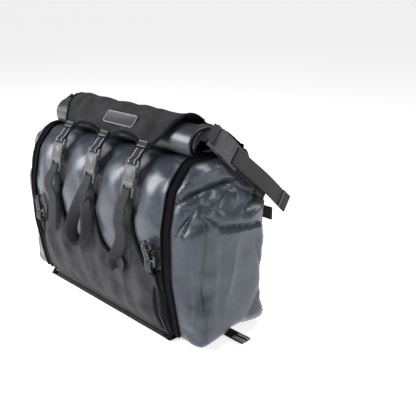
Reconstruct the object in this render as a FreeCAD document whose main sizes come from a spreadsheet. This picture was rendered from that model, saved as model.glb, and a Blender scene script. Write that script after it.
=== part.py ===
"""Soft motorcycle saddlebag: a stuffed roll-top dry bag held in a sewn nylon holster.

Millimetres. +X runs along the bag, -Y is the outboard face, +Y the face against the machine, +Z is up.
The origin is the middle of the base, on the surface that the bag stands on.
"""
import math
import os
import re

import FreeCAD, Part
import Sketcher
from FreeCAD import Matrix, Placement, Rotation, Vector

doc = FreeCAD.newDocument("Saddlebag")

# ---------------------------------------------------------------- driving dimensions
DIMENSIONS = {
    # the dry bag
    "bag_length": 570,
    "bag_depth": 188,
    "bag_top": 345,
    "belly": 24,
    "belly_drop": 120,
    "shoulder_out": 6,
    "shoulder_drop": 45,
    "shoulder_run": 34,
    "taper_length": 57,
    "taper_depth": 22,
    "end_slope_drop": 110,
    "end_slope_run": 50,
    "edge_round": 12,
    "seam_width": 6,
    "seam_proud": 2.5,
    "seam_foot": 12,
    "seam_head": 8,
    "seam_inset": 9,
    # the rolled mouth
    "roll_inset": 80,
    "roll_half_depth": 38,
    "roll_half_height": 36,
    "roll_rise": 20,
    "roll_forward": 12,
    "strip_thick": 2,
    "strip_width": 28,
    "strip_inset": 12,
    # the holster
    "panel_thick": 2.5,
    "panel_inset": 91,
    "panel_valley": 140,
    "peak_drop": 57,
    "peak_width": 20,
    "binding_width": 12,
    "binding_proud": 1,
    "binding_rise": 10,
    "board_thick": 2,
    "board_margin": 10,
    "base_board_thick": 3,
    # the flap
    "flap_thick": 2.5,
    "flap_gap": 1.2,
    "flap_inset": 37,
    "flap_tip_inset": 18,
    "flap_tip_rise": 7,
    "flap_arch": 13,
    "flap_tip_width": 26,
    "flap_side_run": 30,
    "flap_side_inset": 8,
    "keeper_thick": 2,
    "keeper_length": 12,
    "hinge_rise": 2,
    # webbing
    "web_thick": 1.6,
    "web_gap": 1.4,
    "front_web": 25,
    "end_web": 38,
    "side_web": 20,
    "strap_pitch": 118,
    "side_strap_gap": 12,
    "front_mouth_drop": 49,
    "front_stand": 14,
    "front_tilt": 18,
    "tail_stand": 5.7,
    "sewn_length": 45,
    "tail_below_valley": 12,
    "side_lock_rise": 18,
    "side_lock_inset": 10,
    "side_strap_foot": 20,
    "lock_rim": 4,
    "lock_thick": 4,
    "lock_height": 22,
    "lock_slot": 5,
    "lock_bar": 5,
    "tie_width": 10,
    "tie_foot": 8,
    # side-release buckles
    "buckle_rim": 4.5,
    "buckle_thick": 12,
    "buckle_wall": 2.5,
    "buckle_slack": 1,
    "tongue_length": 12,
    "shell_bar": 4.5,
    "web_slot": 5.4,
    "window_length": 11,
    "window_up": 14,
    "guide_width": 3,
    "front_shell": 40,
    "end_shell": 46,
    "prong_length": 16,
    "prong_width": 4,
    "ladder_thick": 5,
    "ladder_bar": 3.2,
    "ladder_slot": 6,
    "bridge_length": 8,
    # roll-end straps
    "end_buckle_down": -2,
    "end_buckle_back": 22,
    "end_buckle_clear": 7.4,
    "end_strap_turn": 37.5,
    "guide_along": 94,
    "guide_length": 14,
    "guide_rim": 4,
    "guide_wall": 1.2,
    "guide_gap": 0.5,
    "end_main_length": 110,
    "end_tail_length": 156,
    # rings and loops
    "ring_wire": 4,
    "ring_inside": 30,
    "ring_inset": 14,
    "ring_drop": 27,
    "tab_width": 24,
    "tab_wall": 1.8,
    "tab_length": 24,
    "loop_width": 24,
    "loop_out": 26,
    "loop_thick": 4,
    "label_width": 94,
    "label_height": 34,
    "label_thick": 1,
    "label_below_ring": 4,
    "hang_tab_width": 16,
    "hang_tab_thick": 3,
    "hang_tab_length": 44,
    "hang_tab_gap": 20,
    "badge_width": 92,
    "badge_height": 26,
    "badge_thick": 1.6,
    "badge_round": 5,
    "badge_drop": -4,
    "badge_side": 26,
}

# Sizes and places that follow from the driving ones.
DERIVED = {
    "roll_length": "(bag_length - 2 * roll_inset)",
    "panel_length": "(bag_length - 2 * panel_inset)",
    "end_wall_top": "(bag_top - end_slope_drop)",
    "front_mouth_up": "(bag_top - front_mouth_drop)",
    "panel_peak": "(bag_top - front_mouth_drop - peak_drop)",
    "binding_front_top": "(panel_valley + binding_rise)",
    "side_lock_up": "(panel_valley + binding_rise + side_lock_rise)",
    "side_lock_out": "(bag_length / 2 - panel_inset - side_lock_inset)",
    "side_strap_out": "(bag_length / 2 - roll_inset + side_strap_gap)",
    "flap_back_width": "(bag_length - 2 * panel_inset + binding_width)",
    "flap_roll_width": "(bag_length - 2 * roll_inset - 2 * flap_inset)",
    "flap_tip_y": "(bag_depth / 2 - flap_tip_inset)",
    "flap_tip_up": "(bag_top + flap_tip_rise)",
    "ring_out": "(bag_length / 2 - panel_inset - ring_inset)",
    "ring_up": "(bag_top - ring_drop)",
    "tail_end_up": "(panel_valley - tail_below_valley)",
}

sheet = doc.addObject("Spreadsheet::Sheet", "Sizes")
for row, (alias, value) in enumerate(DIMENSIONS.items(), start=1):
    sheet.set(f"A{row}", alias)
    sheet.set(f"B{row}", str(value))
    sheet.setAlias(f"B{row}", alias)
doc.recompute()

SIDES = {"left": -1, "right": 1}
CORNER = 3.0  # the rounding of small moulded and folded pieces
FRONT_STRAPS = {"1": -1, "2": 0, "3": 1}
parts = []


def expr(text):
    """The expression with every derived size written out and every alias looked up in the sheet."""
    text = re.sub(r"[a-z_]+", lambda word: DERIVED.get(word[0], word[0]), text)
    return re.sub(r"[a-z_]+", lambda word: f"Sizes.{word[0]}" if word[0] in DIMENSIONS else word[0], text)


def size(text):
    """The value, now, of an expression of sheet aliases."""
    return float(sheet.evalExpression(expr(text)))


def keep(item, node):
    """Names an object as one sub-part of the bag."""
    item.Label = node
    parts.append(item)
    return item


# ---------------------------------------------------------------- building helpers
def place_at(item, position):
    """Ties an object's position to three expressions."""
    for axis, text in zip("xyz", position):
        item.setExpression(f"Placement.Base.{axis}", expr(text))


def block(name, sizes, centre):
    """A box with its three sizes and its centre tied to the sheet."""
    item = doc.addObject("Part::Box", name)
    for field, text in zip(("Length", "Width", "Height"), sizes):
        item.setExpression(field, expr(text))
    place_at(item, [f"({mid}) - ({span}) / 2" for mid, span in zip(centre, sizes)])
    return item


def rounded_block(name, sizes, centre, radius, axis):
    """A box whose four edges along one axis are rounded."""
    base = block(name + "_raw", sizes, centre)
    doc.recompute()
    item = doc.addObject("Part::Fillet", name)
    item.Base = base
    along = Vector(*[float(letter == axis) for letter in "xyz"])
    edges = []
    for number, edge in enumerate(base.Shape.Edges, start=1):
        direction = edge.Vertexes[-1].Point - edge.Vertexes[0].Point
        if abs(direction.normalize().dot(along)) > 0.99:
            edges.append((number, radius, radius))
    item.Edges = edges
    return item


def rod(name, radius, length, axis, centre):
    """A cylinder along X or Z, centred on a point."""
    item = doc.addObject("Part::Cylinder", name)
    item.setExpression("Radius", expr(radius))
    item.setExpression("Height", expr(length))
    turned = [text if letter != axis else f"({text}) - ({length}) / 2" for letter, text in zip("xyz", centre)]
    if axis == "x":
        item.Placement = Placement(Vector(), Rotation(Vector(0, 1, 0), 90))
    place_at(item, turned)
    return item


def fuse(name, shapes):
    item = doc.addObject("Part::MultiFuse", name)
    item.Shapes = shapes
    return item


def cut(name, base, tool):
    item = doc.addObject("Part::Cut", name)
    item.Base = base
    item.Tool = tool
    return item


def outline_body(name, plane, points, feature, length):
    """A body with one sketched outline, each corner tied to the sheet, padded both ways or cut through."""
    body = doc.addObject("PartDesign::Body", name)
    add_outline(body, name, plane, points, feature, length)
    return body


def add_outline(body, name, plane, points, feature, length):
    """Sketches an outline on one of the body's origin planes, and pads or pockets it about that plane."""
    sketch = body.newObject("Sketcher::SketchObject", name + "_outline")
    origin_plane = [item for item in body.Origin.OriginFeatures if item.Role == plane][0]
    sketch.AttachmentSupport = [(origin_plane, "")]
    sketch.MapMode = "FlatFace"
    corners = [Vector(size(across), size(up), 0) for across, up in points]
    count = len(corners)
    for index, corner in enumerate(corners):
        sketch.addGeometry(Part.LineSegment(corner, corners[(index + 1) % count]), False)
    for index in range(count):
        sketch.addConstraint(Sketcher.Constraint("Coincident", index, 2, (index + 1) % count, 1))
    for index, (across, up) in enumerate(points):
        for kind, text, value in (
            ("DistanceX", across, corners[index].x),
            ("DistanceY", up, corners[index].y),
        ):
            number = sketch.addConstraint(Sketcher.Constraint(kind, -1, 1, index, 1, value))
            sketch.setExpression(f"Constraints[{number}]", expr(text))
    made = body.newObject("PartDesign::" + feature, name + "_" + feature.lower())
    made.Profile = sketch
    if feature == "Pad":
        made.SideType = "Symmetric"
        made.setExpression("Length", expr(length))
    else:
        made.SideType = "Symmetric"
        made.Type = "ThroughAll"
    doc.recompute()
    return made


def plain_feature(name, shape, where=None):
    """A shape made from the sheet's values by Part's own functions."""
    item = doc.addObject("Part::Feature", name)
    item.Shape = shape
    if where is not None:
        item.Placement = where * shape.Placement
    return item


def rounded_path(points, radius):
    """A line through points in the YZ plane, with each corner replaced by a tangent arc."""
    corners = [Vector(0, across, up) for across, up in points]
    edges = []
    start = corners[0]
    for before, corner, after in zip(corners, corners[1:], corners[2:]):
        inward = (before - corner).normalize()
        outward = (after - corner).normalize()
        turn = math.pi - inward.getAngle(outward)
        reach = radius * math.tan(turn / 2)
        first = corner + inward * reach
        last = corner + outward * reach
        middle = (inward + outward).normalize()
        crown = corner + middle * (radius / math.cos(turn / 2) - radius)
        edges.append(Part.LineSegment(start, first).toShape())
        edges.append(Part.Arc(first, crown, last).toShape())
        start = last
    edges.append(Part.LineSegment(start, corners[-1]).toShape())
    return edges


def band(edges, thick, width, middle=0.0):
    """A strip of cloth or webbing: a line in the YZ plane, made thick and as wide as X says."""
    wire = Part.Wire(edges)
    around = wire.makeOffset2D(thick / 2, 0, False, False, False)
    strip = Part.Face(around).extrude(Vector(width, 0, 0))
    strip.translate(Vector(middle - width / 2, 0, 0))
    return strip


# ---------------------------------------------------------------- the dry bag
FLOOR_OF_BAG = "panel_thick + base_board_thick"
HALF_DEPTH = "bag_depth / 2"
HALF_LENGTH = "bag_length / 2"
FRONT_PROFILE = [
    (f"-{HALF_DEPTH}", FLOOR_OF_BAG),
    (f"-{HALF_DEPTH} - belly", "panel_valley"),
    (f"-{HALF_DEPTH} - belly", "bag_top - belly_drop"),
    (f"-{HALF_DEPTH} - shoulder_out", "bag_top - shoulder_drop"),
    (f"-{HALF_DEPTH} + shoulder_run", "bag_top"),
]


def front_line(first, last, distance):
    """Part of the bag's front profile, moved outwards by a distance, as points in Y and Z."""
    corners = [Vector(0, size(across), size(up)) for across, up in FRONT_PROFILE]
    corners.append(Vector(0, size(HALF_DEPTH), size("bag_top")))
    normals = [Vector(0, -1, 0)]
    for start, end in zip(corners, corners[1:]):
        run = (end - start).normalize()
        normals.append(Vector(0, -run.z, run.y))
    points = []
    for index in range(first, last + 1):
        before = normals[index]
        after = normals[index + 1]
        miter = (before + after).normalize()
        place = corners[index] + miter * (distance / miter.dot(after))
        points.append((place.y, place.z))
    return points


def make_dry_bag():
    """The coated-fabric bag, packed full: its front swells, and its ends slope in above the end walls."""
    body = outline_body("DryBag", "YZ_Plane", FRONT_PROFILE + [
        (HALF_DEPTH, "bag_top"),
        (HALF_DEPTH, FLOOR_OF_BAG),
    ], "Pad", "bag_length")
    round_long_edges(body)
    for side in (-1, 1):
        full = body.Shape.Volume
        add_outline(body, f"EndSlope{side + 1}", "XZ_Plane", [
            (f"{side} * {HALF_LENGTH}", "end_wall_top"),
            (f"{side} * ({HALF_LENGTH} + 20)", "end_wall_top"),
            (f"{side} * ({HALF_LENGTH} + 20)", "bag_top + 20"),
            (f"{side} * ({HALF_LENGTH} - end_slope_run * (bag_top + 20 - end_wall_top)"
             " / (bag_top - end_wall_top))", "bag_top + 20"),
        ], "Pocket", None)
        full = check_cut(body, full)
        add_outline(body, f"FrontTaper{side + 1}", "XY_Plane", [
            (f"{side} * ({HALF_LENGTH} - taper_length)", f"-{HALF_DEPTH} - belly"),
            (f"{side} * {HALF_LENGTH}", f"-{HALF_DEPTH} - belly + taper_depth"),
            (f"{side} * ({HALF_LENGTH} + 20)", f"-{HALF_DEPTH} - belly + taper_depth"),
            (f"{side} * ({HALF_LENGTH} + 20)", f"-{HALF_DEPTH} - belly - 20"),
            (f"{side} * ({HALF_LENGTH} - taper_length)", f"-{HALF_DEPTH} - belly - 20"),
        ], "Pocket", None)
        check_cut(body, full)
    keep(body, "dry_bag")


def check_cut(body, full):
    """Makes sure that a pocket took something away, and gives the volume that is left."""
    left = body.Shape.Volume
    assert left < full - 1, "the pocket cuts nothing"
    return left


def round_long_edges(body):
    """Rounds every edge along the bag above its base, where straps and panels bend over it."""
    low = size("panel_valley") - 1
    names = [
        f"Edge{number}"
        for number, edge in enumerate(body.Shape.Edges, start=1)
        if abs(edge.tangentAt(edge.FirstParameter).x) > 0.99 and edge.CenterOfMass.z > low
    ]
    block_of_bag = body.Tip
    rounding = body.newObject("PartDesign::Fillet", "LongEdges")
    rounding.Base = (block_of_bag, names)
    rounding.setExpression("Radius", expr("edge_round"))
    doc.recompute()


def make_corner_seams():
    """A welded seam stands proud of each of the four upright corners, on the end walls."""
    for side_name, side in SIDES.items():
        for face_name, face in (("front", -1), ("back", 1)):
            low = f"({FLOOR_OF_BAG}) + seam_foot"
            high = "end_wall_top - seam_head"
            seam = block(f"Seam_{side_name}_{face_name}", (
                "seam_proud", "seam_width", f"({high}) - ({low})"
            ), (
                f"{side} * ({HALF_LENGTH} + seam_proud / 2)",
                f"{face} * ({HALF_DEPTH} - seam_inset)",
                f"(({high}) + ({low})) / 2",
            ))
            keep(seam, f"corner_seam_{side_name}_{face_name}")


def roll_centre():
    return Vector(0, -size("roll_forward"), size("bag_top + roll_rise"))


def make_roll():
    """The mouth of the bag, rolled round a stiff strip and lying flat on the bag's top."""
    oval = doc.addObject("Part::Ellipse", "RollOval")
    oval.setExpression("MajorRadius", expr("roll_half_depth"))
    oval.setExpression("MinorRadius", expr("roll_half_height"))
    oval.Placement = Placement(Vector(), Rotation(Vector(0, 1, 0), Vector(0, 0, 1), Vector(1, 0, 0), "XYZ"))
    place_at(oval, ("-roll_length / 2", "-roll_forward", "bag_top + roll_rise"))
    log = doc.addObject("Part::Extrusion", "RollLog")
    log.Base = oval
    log.DirMode = "Custom"
    log.Dir = Vector(1, 0, 0)
    log.Solid = True
    log.setExpression("LengthFwd", expr("roll_length"))
    below = block("BelowRoll", ("roll_length + 20", "roll_half_depth * 3", "roll_half_height"), (
        "0", "-roll_forward", "bag_top - roll_half_height / 2"))
    strip_size = ("roll_length - 2 * strip_inset", "strip_thick", "strip_width")
    strip_place = ("0", "-roll_forward", "bag_top + roll_rise")
    pocket = block("StripPocket", strip_size, strip_place)
    keep(cut("RollBody", log, fuse("RollCuts", [below, pocket])), "roll_top")
    keep(block("StripBody", strip_size, strip_place), "roll_stiffener")


# ---------------------------------------------------------------- the holster
def make_boards():
    """Two stiff boards keep the holster's base and back flat."""
    keep(block("BaseBoard", ("panel_length - 2 * board_margin", "bag_depth", "base_board_thick"), (
        "0", "0", "panel_thick + base_board_thick / 2")), "base_board")
    height = f"bag_top - 2 * board_margin - ({FLOOR_OF_BAG})"
    keep(block("BackBoard", ("panel_length - 2 * board_margin", "board_thick", height), (
        "0", f"{HALF_DEPTH} + board_thick / 2", f"({FLOOR_OF_BAG}) + board_margin + ({height}) / 2",
    )), "back_board")


def make_panels():
    """The base and back of the holster are plain sheets of woven nylon."""
    depth = "bag_depth + 2 * panel_thick + board_thick"
    keep(block("BasePanel", ("panel_length", depth, "panel_thick"), (
        "0", "board_thick / 2", "panel_thick / 2")), "holster_base")
    height = "bag_top - panel_thick"
    keep(block("BackPanel", ("panel_length", "panel_thick", height), (
        "0", f"{HALF_DEPTH} + board_thick + panel_thick / 2", f"panel_thick + ({height}) / 2",
    )), "holster_back")


def make_front_panel():
    """The front panel's top edge hangs in four curves between three strap points and its two ends."""
    skin = size("panel_thick") / 2
    foot, knee, breast = front_line(0, 2, skin)
    line = [(foot[0], -10), foot, knee, (breast[0], size("panel_peak"))]
    bend = size("edge_round") + skin
    cloth = band(rounded_path(line, bend), 2 * skin, size("panel_length"))
    below = Part.makeBox(2000, 400, 400, Vector(-1000, -300, size("panel_thick") - 400))
    plate = plain_feature("FrontPlate", cloth.cut(below))
    scoops = []
    inner_half = "(strap_pitch - peak_width) / 2"
    outer_half = "(panel_length / 2 - strap_pitch - peak_width / 2)"
    for name, centre, half in (
        ("Inner1", "-strap_pitch / 2", inner_half),
        ("Inner2", "strap_pitch / 2", inner_half),
        ("Outer1", "-panel_length / 2", outer_half),
        ("Outer2", "panel_length / 2", outer_half),
    ):
        scoops.append(scoop(name, centre, half))
    keep(cut("FrontPanel", plate, fuse("FrontScoops", scoops)), "holster_front")


def scoop(name, centre, half):
    """An upright elliptical cutter that leaves a hanging curve between two points."""
    oval = doc.addObject("Part::Ellipse", name + "Oval")
    across, deep = size(half), size("panel_peak - panel_valley")
    upright = deep > across
    oval.setExpression("MajorRadius", expr("panel_peak - panel_valley" if upright else half))
    oval.setExpression("MinorRadius", expr(half if upright else "panel_peak - panel_valley"))
    first, second = (Vector(0, 0, 1), Vector(1, 0, 0)) if upright else (Vector(1, 0, 0), Vector(0, 0, -1))
    oval.Placement = Placement(Vector(), Rotation(first, second, Vector(0, 1, 0), "XYZ"))
    place_at(oval, (centre, f"-{HALF_DEPTH} - belly - 2 * panel_thick", "panel_peak"))
    item = doc.addObject("Part::Extrusion", name + "Cutter")
    item.Base = oval
    item.DirMode = "Custom"
    item.Dir = Vector(0, 1, 0)
    item.Solid = True
    item.setExpression("LengthFwd", expr("belly + 3 * panel_thick"))
    return item


def make_bindings():
    """A folded tape closes each side of the holster, from the front panel under the base and up the back."""
    front_in = f"-{HALF_DEPTH}"
    front_out = f"-{HALF_DEPTH} - panel_thick - binding_proud"
    back_in = HALF_DEPTH
    back_out = f"{HALF_DEPTH} + board_thick + panel_thick + binding_proud"
    for side_name, side in SIDES.items():
        body = outline_body(f"Binding_{side_name}", "YZ_Plane", [
            (front_out, "0"),
            (back_out, "0"),
            (back_out, "bag_top"),
            (back_in, "bag_top"),
            (back_in, FLOOR_OF_BAG),
            (front_in, FLOOR_OF_BAG),
            (f"{front_in} - belly", "panel_valley"),
            (f"{front_in} - belly", "binding_front_top"),
            (f"{front_out} - belly", "binding_front_top"),
            (f"{front_out} - belly", "panel_valley"),
        ], "Pad", "binding_width")
        place_at(body, (f"{side} * (panel_length + binding_width) / 2", "0", "0"))
        keep(body, f"side_binding_{side_name}")


def make_back_fittings():
    """On the back panel: a blank label, a sewn hanging tab, and a strap tab to each back corner."""
    outer = f"{HALF_DEPTH} + board_thick + panel_thick"
    keep(block("Label", ("label_width", "label_thick", "label_height"), (
        "0", f"{outer} + label_thick / 2", "ring_up - label_below_ring")), "back_label")
    keep(block("HangTab", ("hang_tab_width", "hang_tab_thick", "hang_tab_length"), (
        "-(label_width / 2 + hang_tab_gap)", f"{outer} + hang_tab_thick / 2", "ring_up - label_below_ring",
    )), "hang_tab")
    reach = f"({HALF_LENGTH} - panel_length / 2 - binding_width - 2)"
    for side_name, side in SIDES.items():
        tab = block(f"CornerTab_{side_name}", (reach, "web_thick", "front_web"), (
            f"{side} * ({HALF_LENGTH} - 2 - {reach} / 2)", f"{HALF_DEPTH} + web_thick / 2", "end_wall_top - 10"))
        keep(tab, f"corner_tab_{side_name}")


def make_bottom_loops():
    """A flat folded loop of tape is sewn under each end of the dry bag, to tie the bag down by."""
    inside = "10"
    for side_name, side in SIDES.items():
        length = f"loop_out + {inside} + 20"
        loop = rounded_block(f"BottomLoop_{side_name}", (length, "loop_width", "loop_thick"), (
            f"{side} * ({HALF_LENGTH} + loop_out - ({length}) / 2)", "0", f"({FLOOR_OF_BAG}) - loop_thick / 2",
        ), CORNER, "z")
        keep(loop, f"bottom_loop_{side_name}")


# ---------------------------------------------------------------- side-release buckles
def shell_parts(name, web, shell):
    """The female half, mouth at z = 0 and opening down, with a shell that is open on its cloth side at +Y."""
    width = f"({web} + 2 * buckle_rim)"
    case = rounded_block(f"{name}_case", (width, "buckle_thick", f"{shell} - tongue_length"), (
        "0", "0", f"({shell} - tongue_length) / 2"), CORNER, "z")
    tail = block(f"{name}_tongue", (width, "buckle_thick / 2", "tongue_length"), (
        "0", "0", f"{shell} - tongue_length / 2"))
    cavity = block(f"{name}_cavity", (f"{web} + 2", "buckle_thick", "prong_length + 1"), (
        "0", "buckle_wall", "(prong_length + 1) / 2"))
    window = block(f"{name}_window", (f"{width} + 4", "buckle_thick - 2 * buckle_wall - 1", "window_length"), (
        "0", "0", "window_up"))
    slot = block(f"{name}_slot", (f"{web} + 1", "buckle_thick", "web_slot"), (
        "0", "0", f"{shell} - shell_bar - web_slot / 2"))
    return fuse(f"{name}_solid", [case, tail]), fuse(f"{name}_voids", [cavity, window, slot])


def female_buckle(name, web, shell):
    solid, voids = shell_parts(name, web, shell)
    return cut(name, solid, voids)


def male_buckle(name, web):
    """The male half: two latch arms and a guide above a bridge, with a two-slot ladder lock below it."""
    width = f"({web} + 2 * buckle_rim)"
    cavity_half = f"({web} / 2 + 1)"
    arm_thick = "buckle_thick - 2 * buckle_wall - 2 * buckle_slack"
    arms = [
        block(f"{name}_arm{side + 1}", ("prong_width", arm_thick, "prong_length + 1"), (
            f"{side} * ({cavity_half} - buckle_slack - prong_width / 2)", "0", "(prong_length - 1) / 2"))
        for side in (-1, 1)
    ]
    guide = block(f"{name}_guide", ("guide_width", arm_thick, "prong_length - 3"), ("0", "0", "(prong_length - 5) / 2"))
    bridge = rounded_block(f"{name}_bridge", (width, "buckle_thick - 2", "bridge_length - 0.5"), (
        "0", "0", "-(bridge_length + 0.5) / 2"), CORNER, "z")
    ladder_length = "(2 * ladder_slot + 2 * ladder_bar)"
    ladder = block(f"{name}_ladder", (width, "ladder_thick", f"{ladder_length} + 1"), (
        "0", "0", f"-bridge_length - ({ladder_length} - 1) / 2"))
    slots = [
        block(f"{name}_slot{index}", (f"{web} + 1", "ladder_thick + 2", "ladder_slot"), (
            "0", "0", f"-bridge_length - ladder_slot / 2 - {index} * (ladder_slot + ladder_bar)"))
        for index in (0, 1)
    ]
    solid = fuse(f"{name}_solid", arms + [guide, bridge, ladder])
    return cut(name, solid, fuse(f"{name}_slots", slots))


def ladder_fold():
    """How webbing passes a ladder lock: how far behind and in front it lies, and the height it crosses at."""
    beside = size("ladder_thick / 2 + web_thick / 2 + web_gap")
    crossing = -size("bridge_length + ladder_slot - web_thick / 2")
    return beside, crossing


def web_radius():
    """The bend of webbing round a bar, at the middle of its thickness."""
    return size("web_thick") * 1.3


# ---------------------------------------------------------------- the three front straps
def front_place(step):
    """Where a front buckle's mouth is: the buckle lies back against the bag's shoulder."""
    mouth = Vector(step * size("strap_pitch"), -size("bag_depth / 2 + front_stand"), size("front_mouth_up"))
    return Placement(mouth, Rotation(Vector(1, 0, 0), -size("front_tilt")))


def front_point(off, along):
    """A point beside a front buckle's middle line, in Y and Z: how far towards the bag, and how far up."""
    place = front_place(0).multVec(Vector(0, off, along))
    return place.y, place.z


def make_front_straps():
    """Each front strap is sewn over a point of the front panel and threads its buckle's ladder lock."""
    beside, crossing = ladder_fold()
    tilt = math.radians(size("front_tilt"))
    belly_y = -size("bag_depth / 2 + belly + panel_thick + web_thick / 2")
    tail_y = belly_y - size("tail_stand")
    route = [
        (belly_y, size("panel_peak - sewn_length")),
        front_point(beside, (belly_y - front_point(beside, 0)[0]) / math.sin(tilt)),
        front_point(beside, crossing),
        front_point(-beside, crossing),
        front_point(-beside, (tail_y - front_point(-beside, 0)[0]) / math.sin(tilt)),
        (tail_y + 2, size("tail_end_up")),
    ]
    for number, step in FRONT_STRAPS.items():
        across = step * size("strap_pitch")
        male = male_buckle(f"FrontMale{number}", "front_web")
        male.Placement = front_place(step)
        keep(male, f"front_male_{number}")
        strap = band(rounded_path(route, web_radius()), size("web_thick"), size("front_web"), across)
        keep(plain_feature(f"FrontStrap{number}", strap), f"front_strap_{number}")


def pivot_point():
    """Where a hanging strap turns at a point of the flap, in Y and Z."""
    return -size("flap_tip_y") - 2.2, size("flap_tip_up") - 3.4


def make_hangers():
    """From each point of the flap hangs a short strap, sewn round the top bar of a female buckle."""
    slot = size("front_shell - shell_bar - web_slot / 2")
    beside = size("buckle_thick / 4 + web_thick / 2")
    route = [
        pivot_point(),
        front_point(beside, slot + 11),
        front_point(beside, slot),
        front_point(-beside, slot),
        front_point(-beside, slot + 12),
    ]
    for number, step in FRONT_STRAPS.items():
        across = step * size("strap_pitch")
        female = female_buckle(f"FrontFemale{number}", "front_web", "front_shell")
        female.Placement = front_place(step)
        keep(female, f"front_female_{number}")
        strap = band(rounded_path(route, web_radius()), size("web_thick"), size("front_web"), across)
        keep(plain_feature(f"HangerStrap{number}", strap), f"hanger_strap_{number}")


# ---------------------------------------------------------------- the flap
def tangent_point(outside, centre, radius, forward):
    """The point where a line from outside touches a circle in the YZ plane, on its -Y or +Y side."""
    gap = outside - centre
    spread = math.acos(radius / gap.Length)
    angle = math.atan2(gap.z, gap.y)
    turn = -spread if forward else spread
    return centre + Vector(0, math.cos(angle + turn), math.sin(angle + turn)) * radius


def flap_line():
    """The flap's middle line: from its hinge seam up to the roll, round the roll and down to its points."""
    centre = roll_centre()
    radius = size("roll_half_depth + flap_gap + flap_thick / 2")
    seam = Vector(0, size("bag_depth / 2 + board_thick + panel_thick / 2"), size("bag_top + hinge_rise"))
    tip = Vector(0, -size("flap_tip_y"), size("flap_tip_up"))
    back_touch = tangent_point(seam, centre, radius, False)
    front_touch = tangent_point(tip, centre, radius, True)
    crown = centre + Vector(0, 0, radius)
    return [
        Part.LineSegment(seam, back_touch).toShape(),
        Part.Arc(back_touch, crown, front_touch).toShape(),
        Part.LineSegment(front_touch, tip).toShape(),
    ]


def flap_plan():
    """The flap seen from above: wide at the seam, narrower at the roll, cut in two curves between points."""
    half_tip = size("flap_tip_width / 2")
    pitch = size("strap_pitch")
    low = -size("flap_tip_y") - 20
    arch = -size("flap_tip_y") + size("flap_arch")
    back = size("bag_depth / 2 + board_thick + panel_thick") + 20
    roll_y = -size("roll_forward")
    outer = pitch + half_tip
    right = [
        Vector(size("flap_back_width / 2"), back, 0),
        Vector(size("flap_roll_width / 2"), roll_y, 0),
        Vector(size("flap_roll_width / 2 - flap_side_inset"), roll_y - size("flap_side_run"), 0),
        Vector(outer, -size("flap_tip_y"), 0),
        Vector(outer, low, 0),
    ]
    edges = []
    for start, end in zip(right, right[1:]):
        edges.append(Part.LineSegment(start, end).toShape())
    edges.append(Part.LineSegment(right[-1], Vector(pitch - half_tip, low, 0)).toShape())
    for left_x in (0.0, -pitch):
        tip_right = Vector(left_x + pitch - half_tip, -size("flap_tip_y"), 0)
        tip_left = Vector(left_x + half_tip, -size("flap_tip_y"), 0)
        edges.append(Part.LineSegment(Vector(tip_right.x, low, 0), tip_right).toShape())
        edges.append(Part.Arc(tip_right, Vector(left_x + pitch / 2, arch, 0), tip_left).toShape())
        edges.append(Part.LineSegment(tip_left, Vector(tip_left.x, low, 0)).toShape())
        edges.append(Part.LineSegment(Vector(tip_left.x, low, 0), Vector(tip_left.x - 2 * half_tip, low, 0)).toShape())
    left = [Vector(-corner.x, corner.y, 0) for corner in reversed(right)]
    for start, end in zip(left, left[1:]):
        edges.append(Part.LineSegment(start, end).toShape())
    edges.append(Part.LineSegment(left[-1], right[0]).toShape())
    return Part.Face(Part.Wire(edges))


def make_flap():
    """The nylon flap comes from the back panel over the roll to its three points."""
    cloth = band(flap_line(), size("flap_thick"), size("flap_back_width"))
    plan = flap_plan()
    prism = plan.extrude(Vector(0, 0, size("bag_top") + 200))
    keep(plain_feature("FlapCloth", cloth.common(prism)), "flap")
    make_badge()
    make_keepers()


def front_run():
    """The flap's straight front part: its upper and lower ends, and its outward direction."""
    start, end = flap_line()[2].Vertexes
    down = (end.Point - start.Point).normalize()
    outward = Vector(0, down.z, -down.y)
    return start.Point, end.Point, down, outward


def make_badge():
    """A blank moulded badge is sewn to the flap above its middle point."""
    start, _, down, outward = front_run()
    width = size("badge_width")
    height = size("badge_height")
    thick = size("badge_thick")
    plate = Part.makeBox(width, thick, height, Vector(size("badge_side") - width / 2, -thick, -height))
    round_edges = [edge for edge in plate.Edges if abs(edge.tangentAt(0).y) > 0.99]
    plate = plate.makeFillet(size("badge_round"), round_edges)
    frame = Matrix(
        1, 0, 0, 0,
        0, -outward.y, -down.y, 0,
        0, -outward.z, -down.z, 0,
        0, 0, 0, 1,
    )
    origin = start + outward * (size("flap_thick") / 2) + down * size("badge_drop")
    keep(plain_feature("Badge", plate, Placement(origin, Placement(frame).Rotation)), "flap_badge")


def make_keepers():
    """A bar-tacked keeper holds each hanging strap's sewn end at a point of the flap."""
    _, end, down, outward = front_run()
    thick = size("keeper_thick")
    long = size("keeper_length")
    for number, step in FRONT_STRAPS.items():
        width = size("front_web")
        plate = Part.makeBox(width, thick, long, Vector(-width / 2, -thick, 0))
        frame = Matrix(
            1, 0, 0, 0,
            0, -outward.y, -down.y, 0,
            0, -outward.z, -down.z, 0,
            0, 0, 0, 1,
        )
        origin = end + outward * (size("flap_thick") / 2) - down * 0.5
        origin.x = step * size("strap_pitch")
        keep(plain_feature(f"Keeper{number}", plate, Placement(origin, Placement(frame).Rotation)),
             f"strap_keeper_{number}")


# ---------------------------------------------------------------- shoulder straps
def down_the_front(top, distance):
    """A way down the bag's swollen front to just above its base, moved outwards by a distance."""
    foot, knee = front_line(0, 1, distance)
    share = size("tie_foot") / (knee[1] - foot[1])
    toe = (foot[0] + (knee[0] - foot[0]) * share, foot[1] + (knee[1] - foot[1]) * share)
    return [(knee[0], top), knee, toe]


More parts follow.
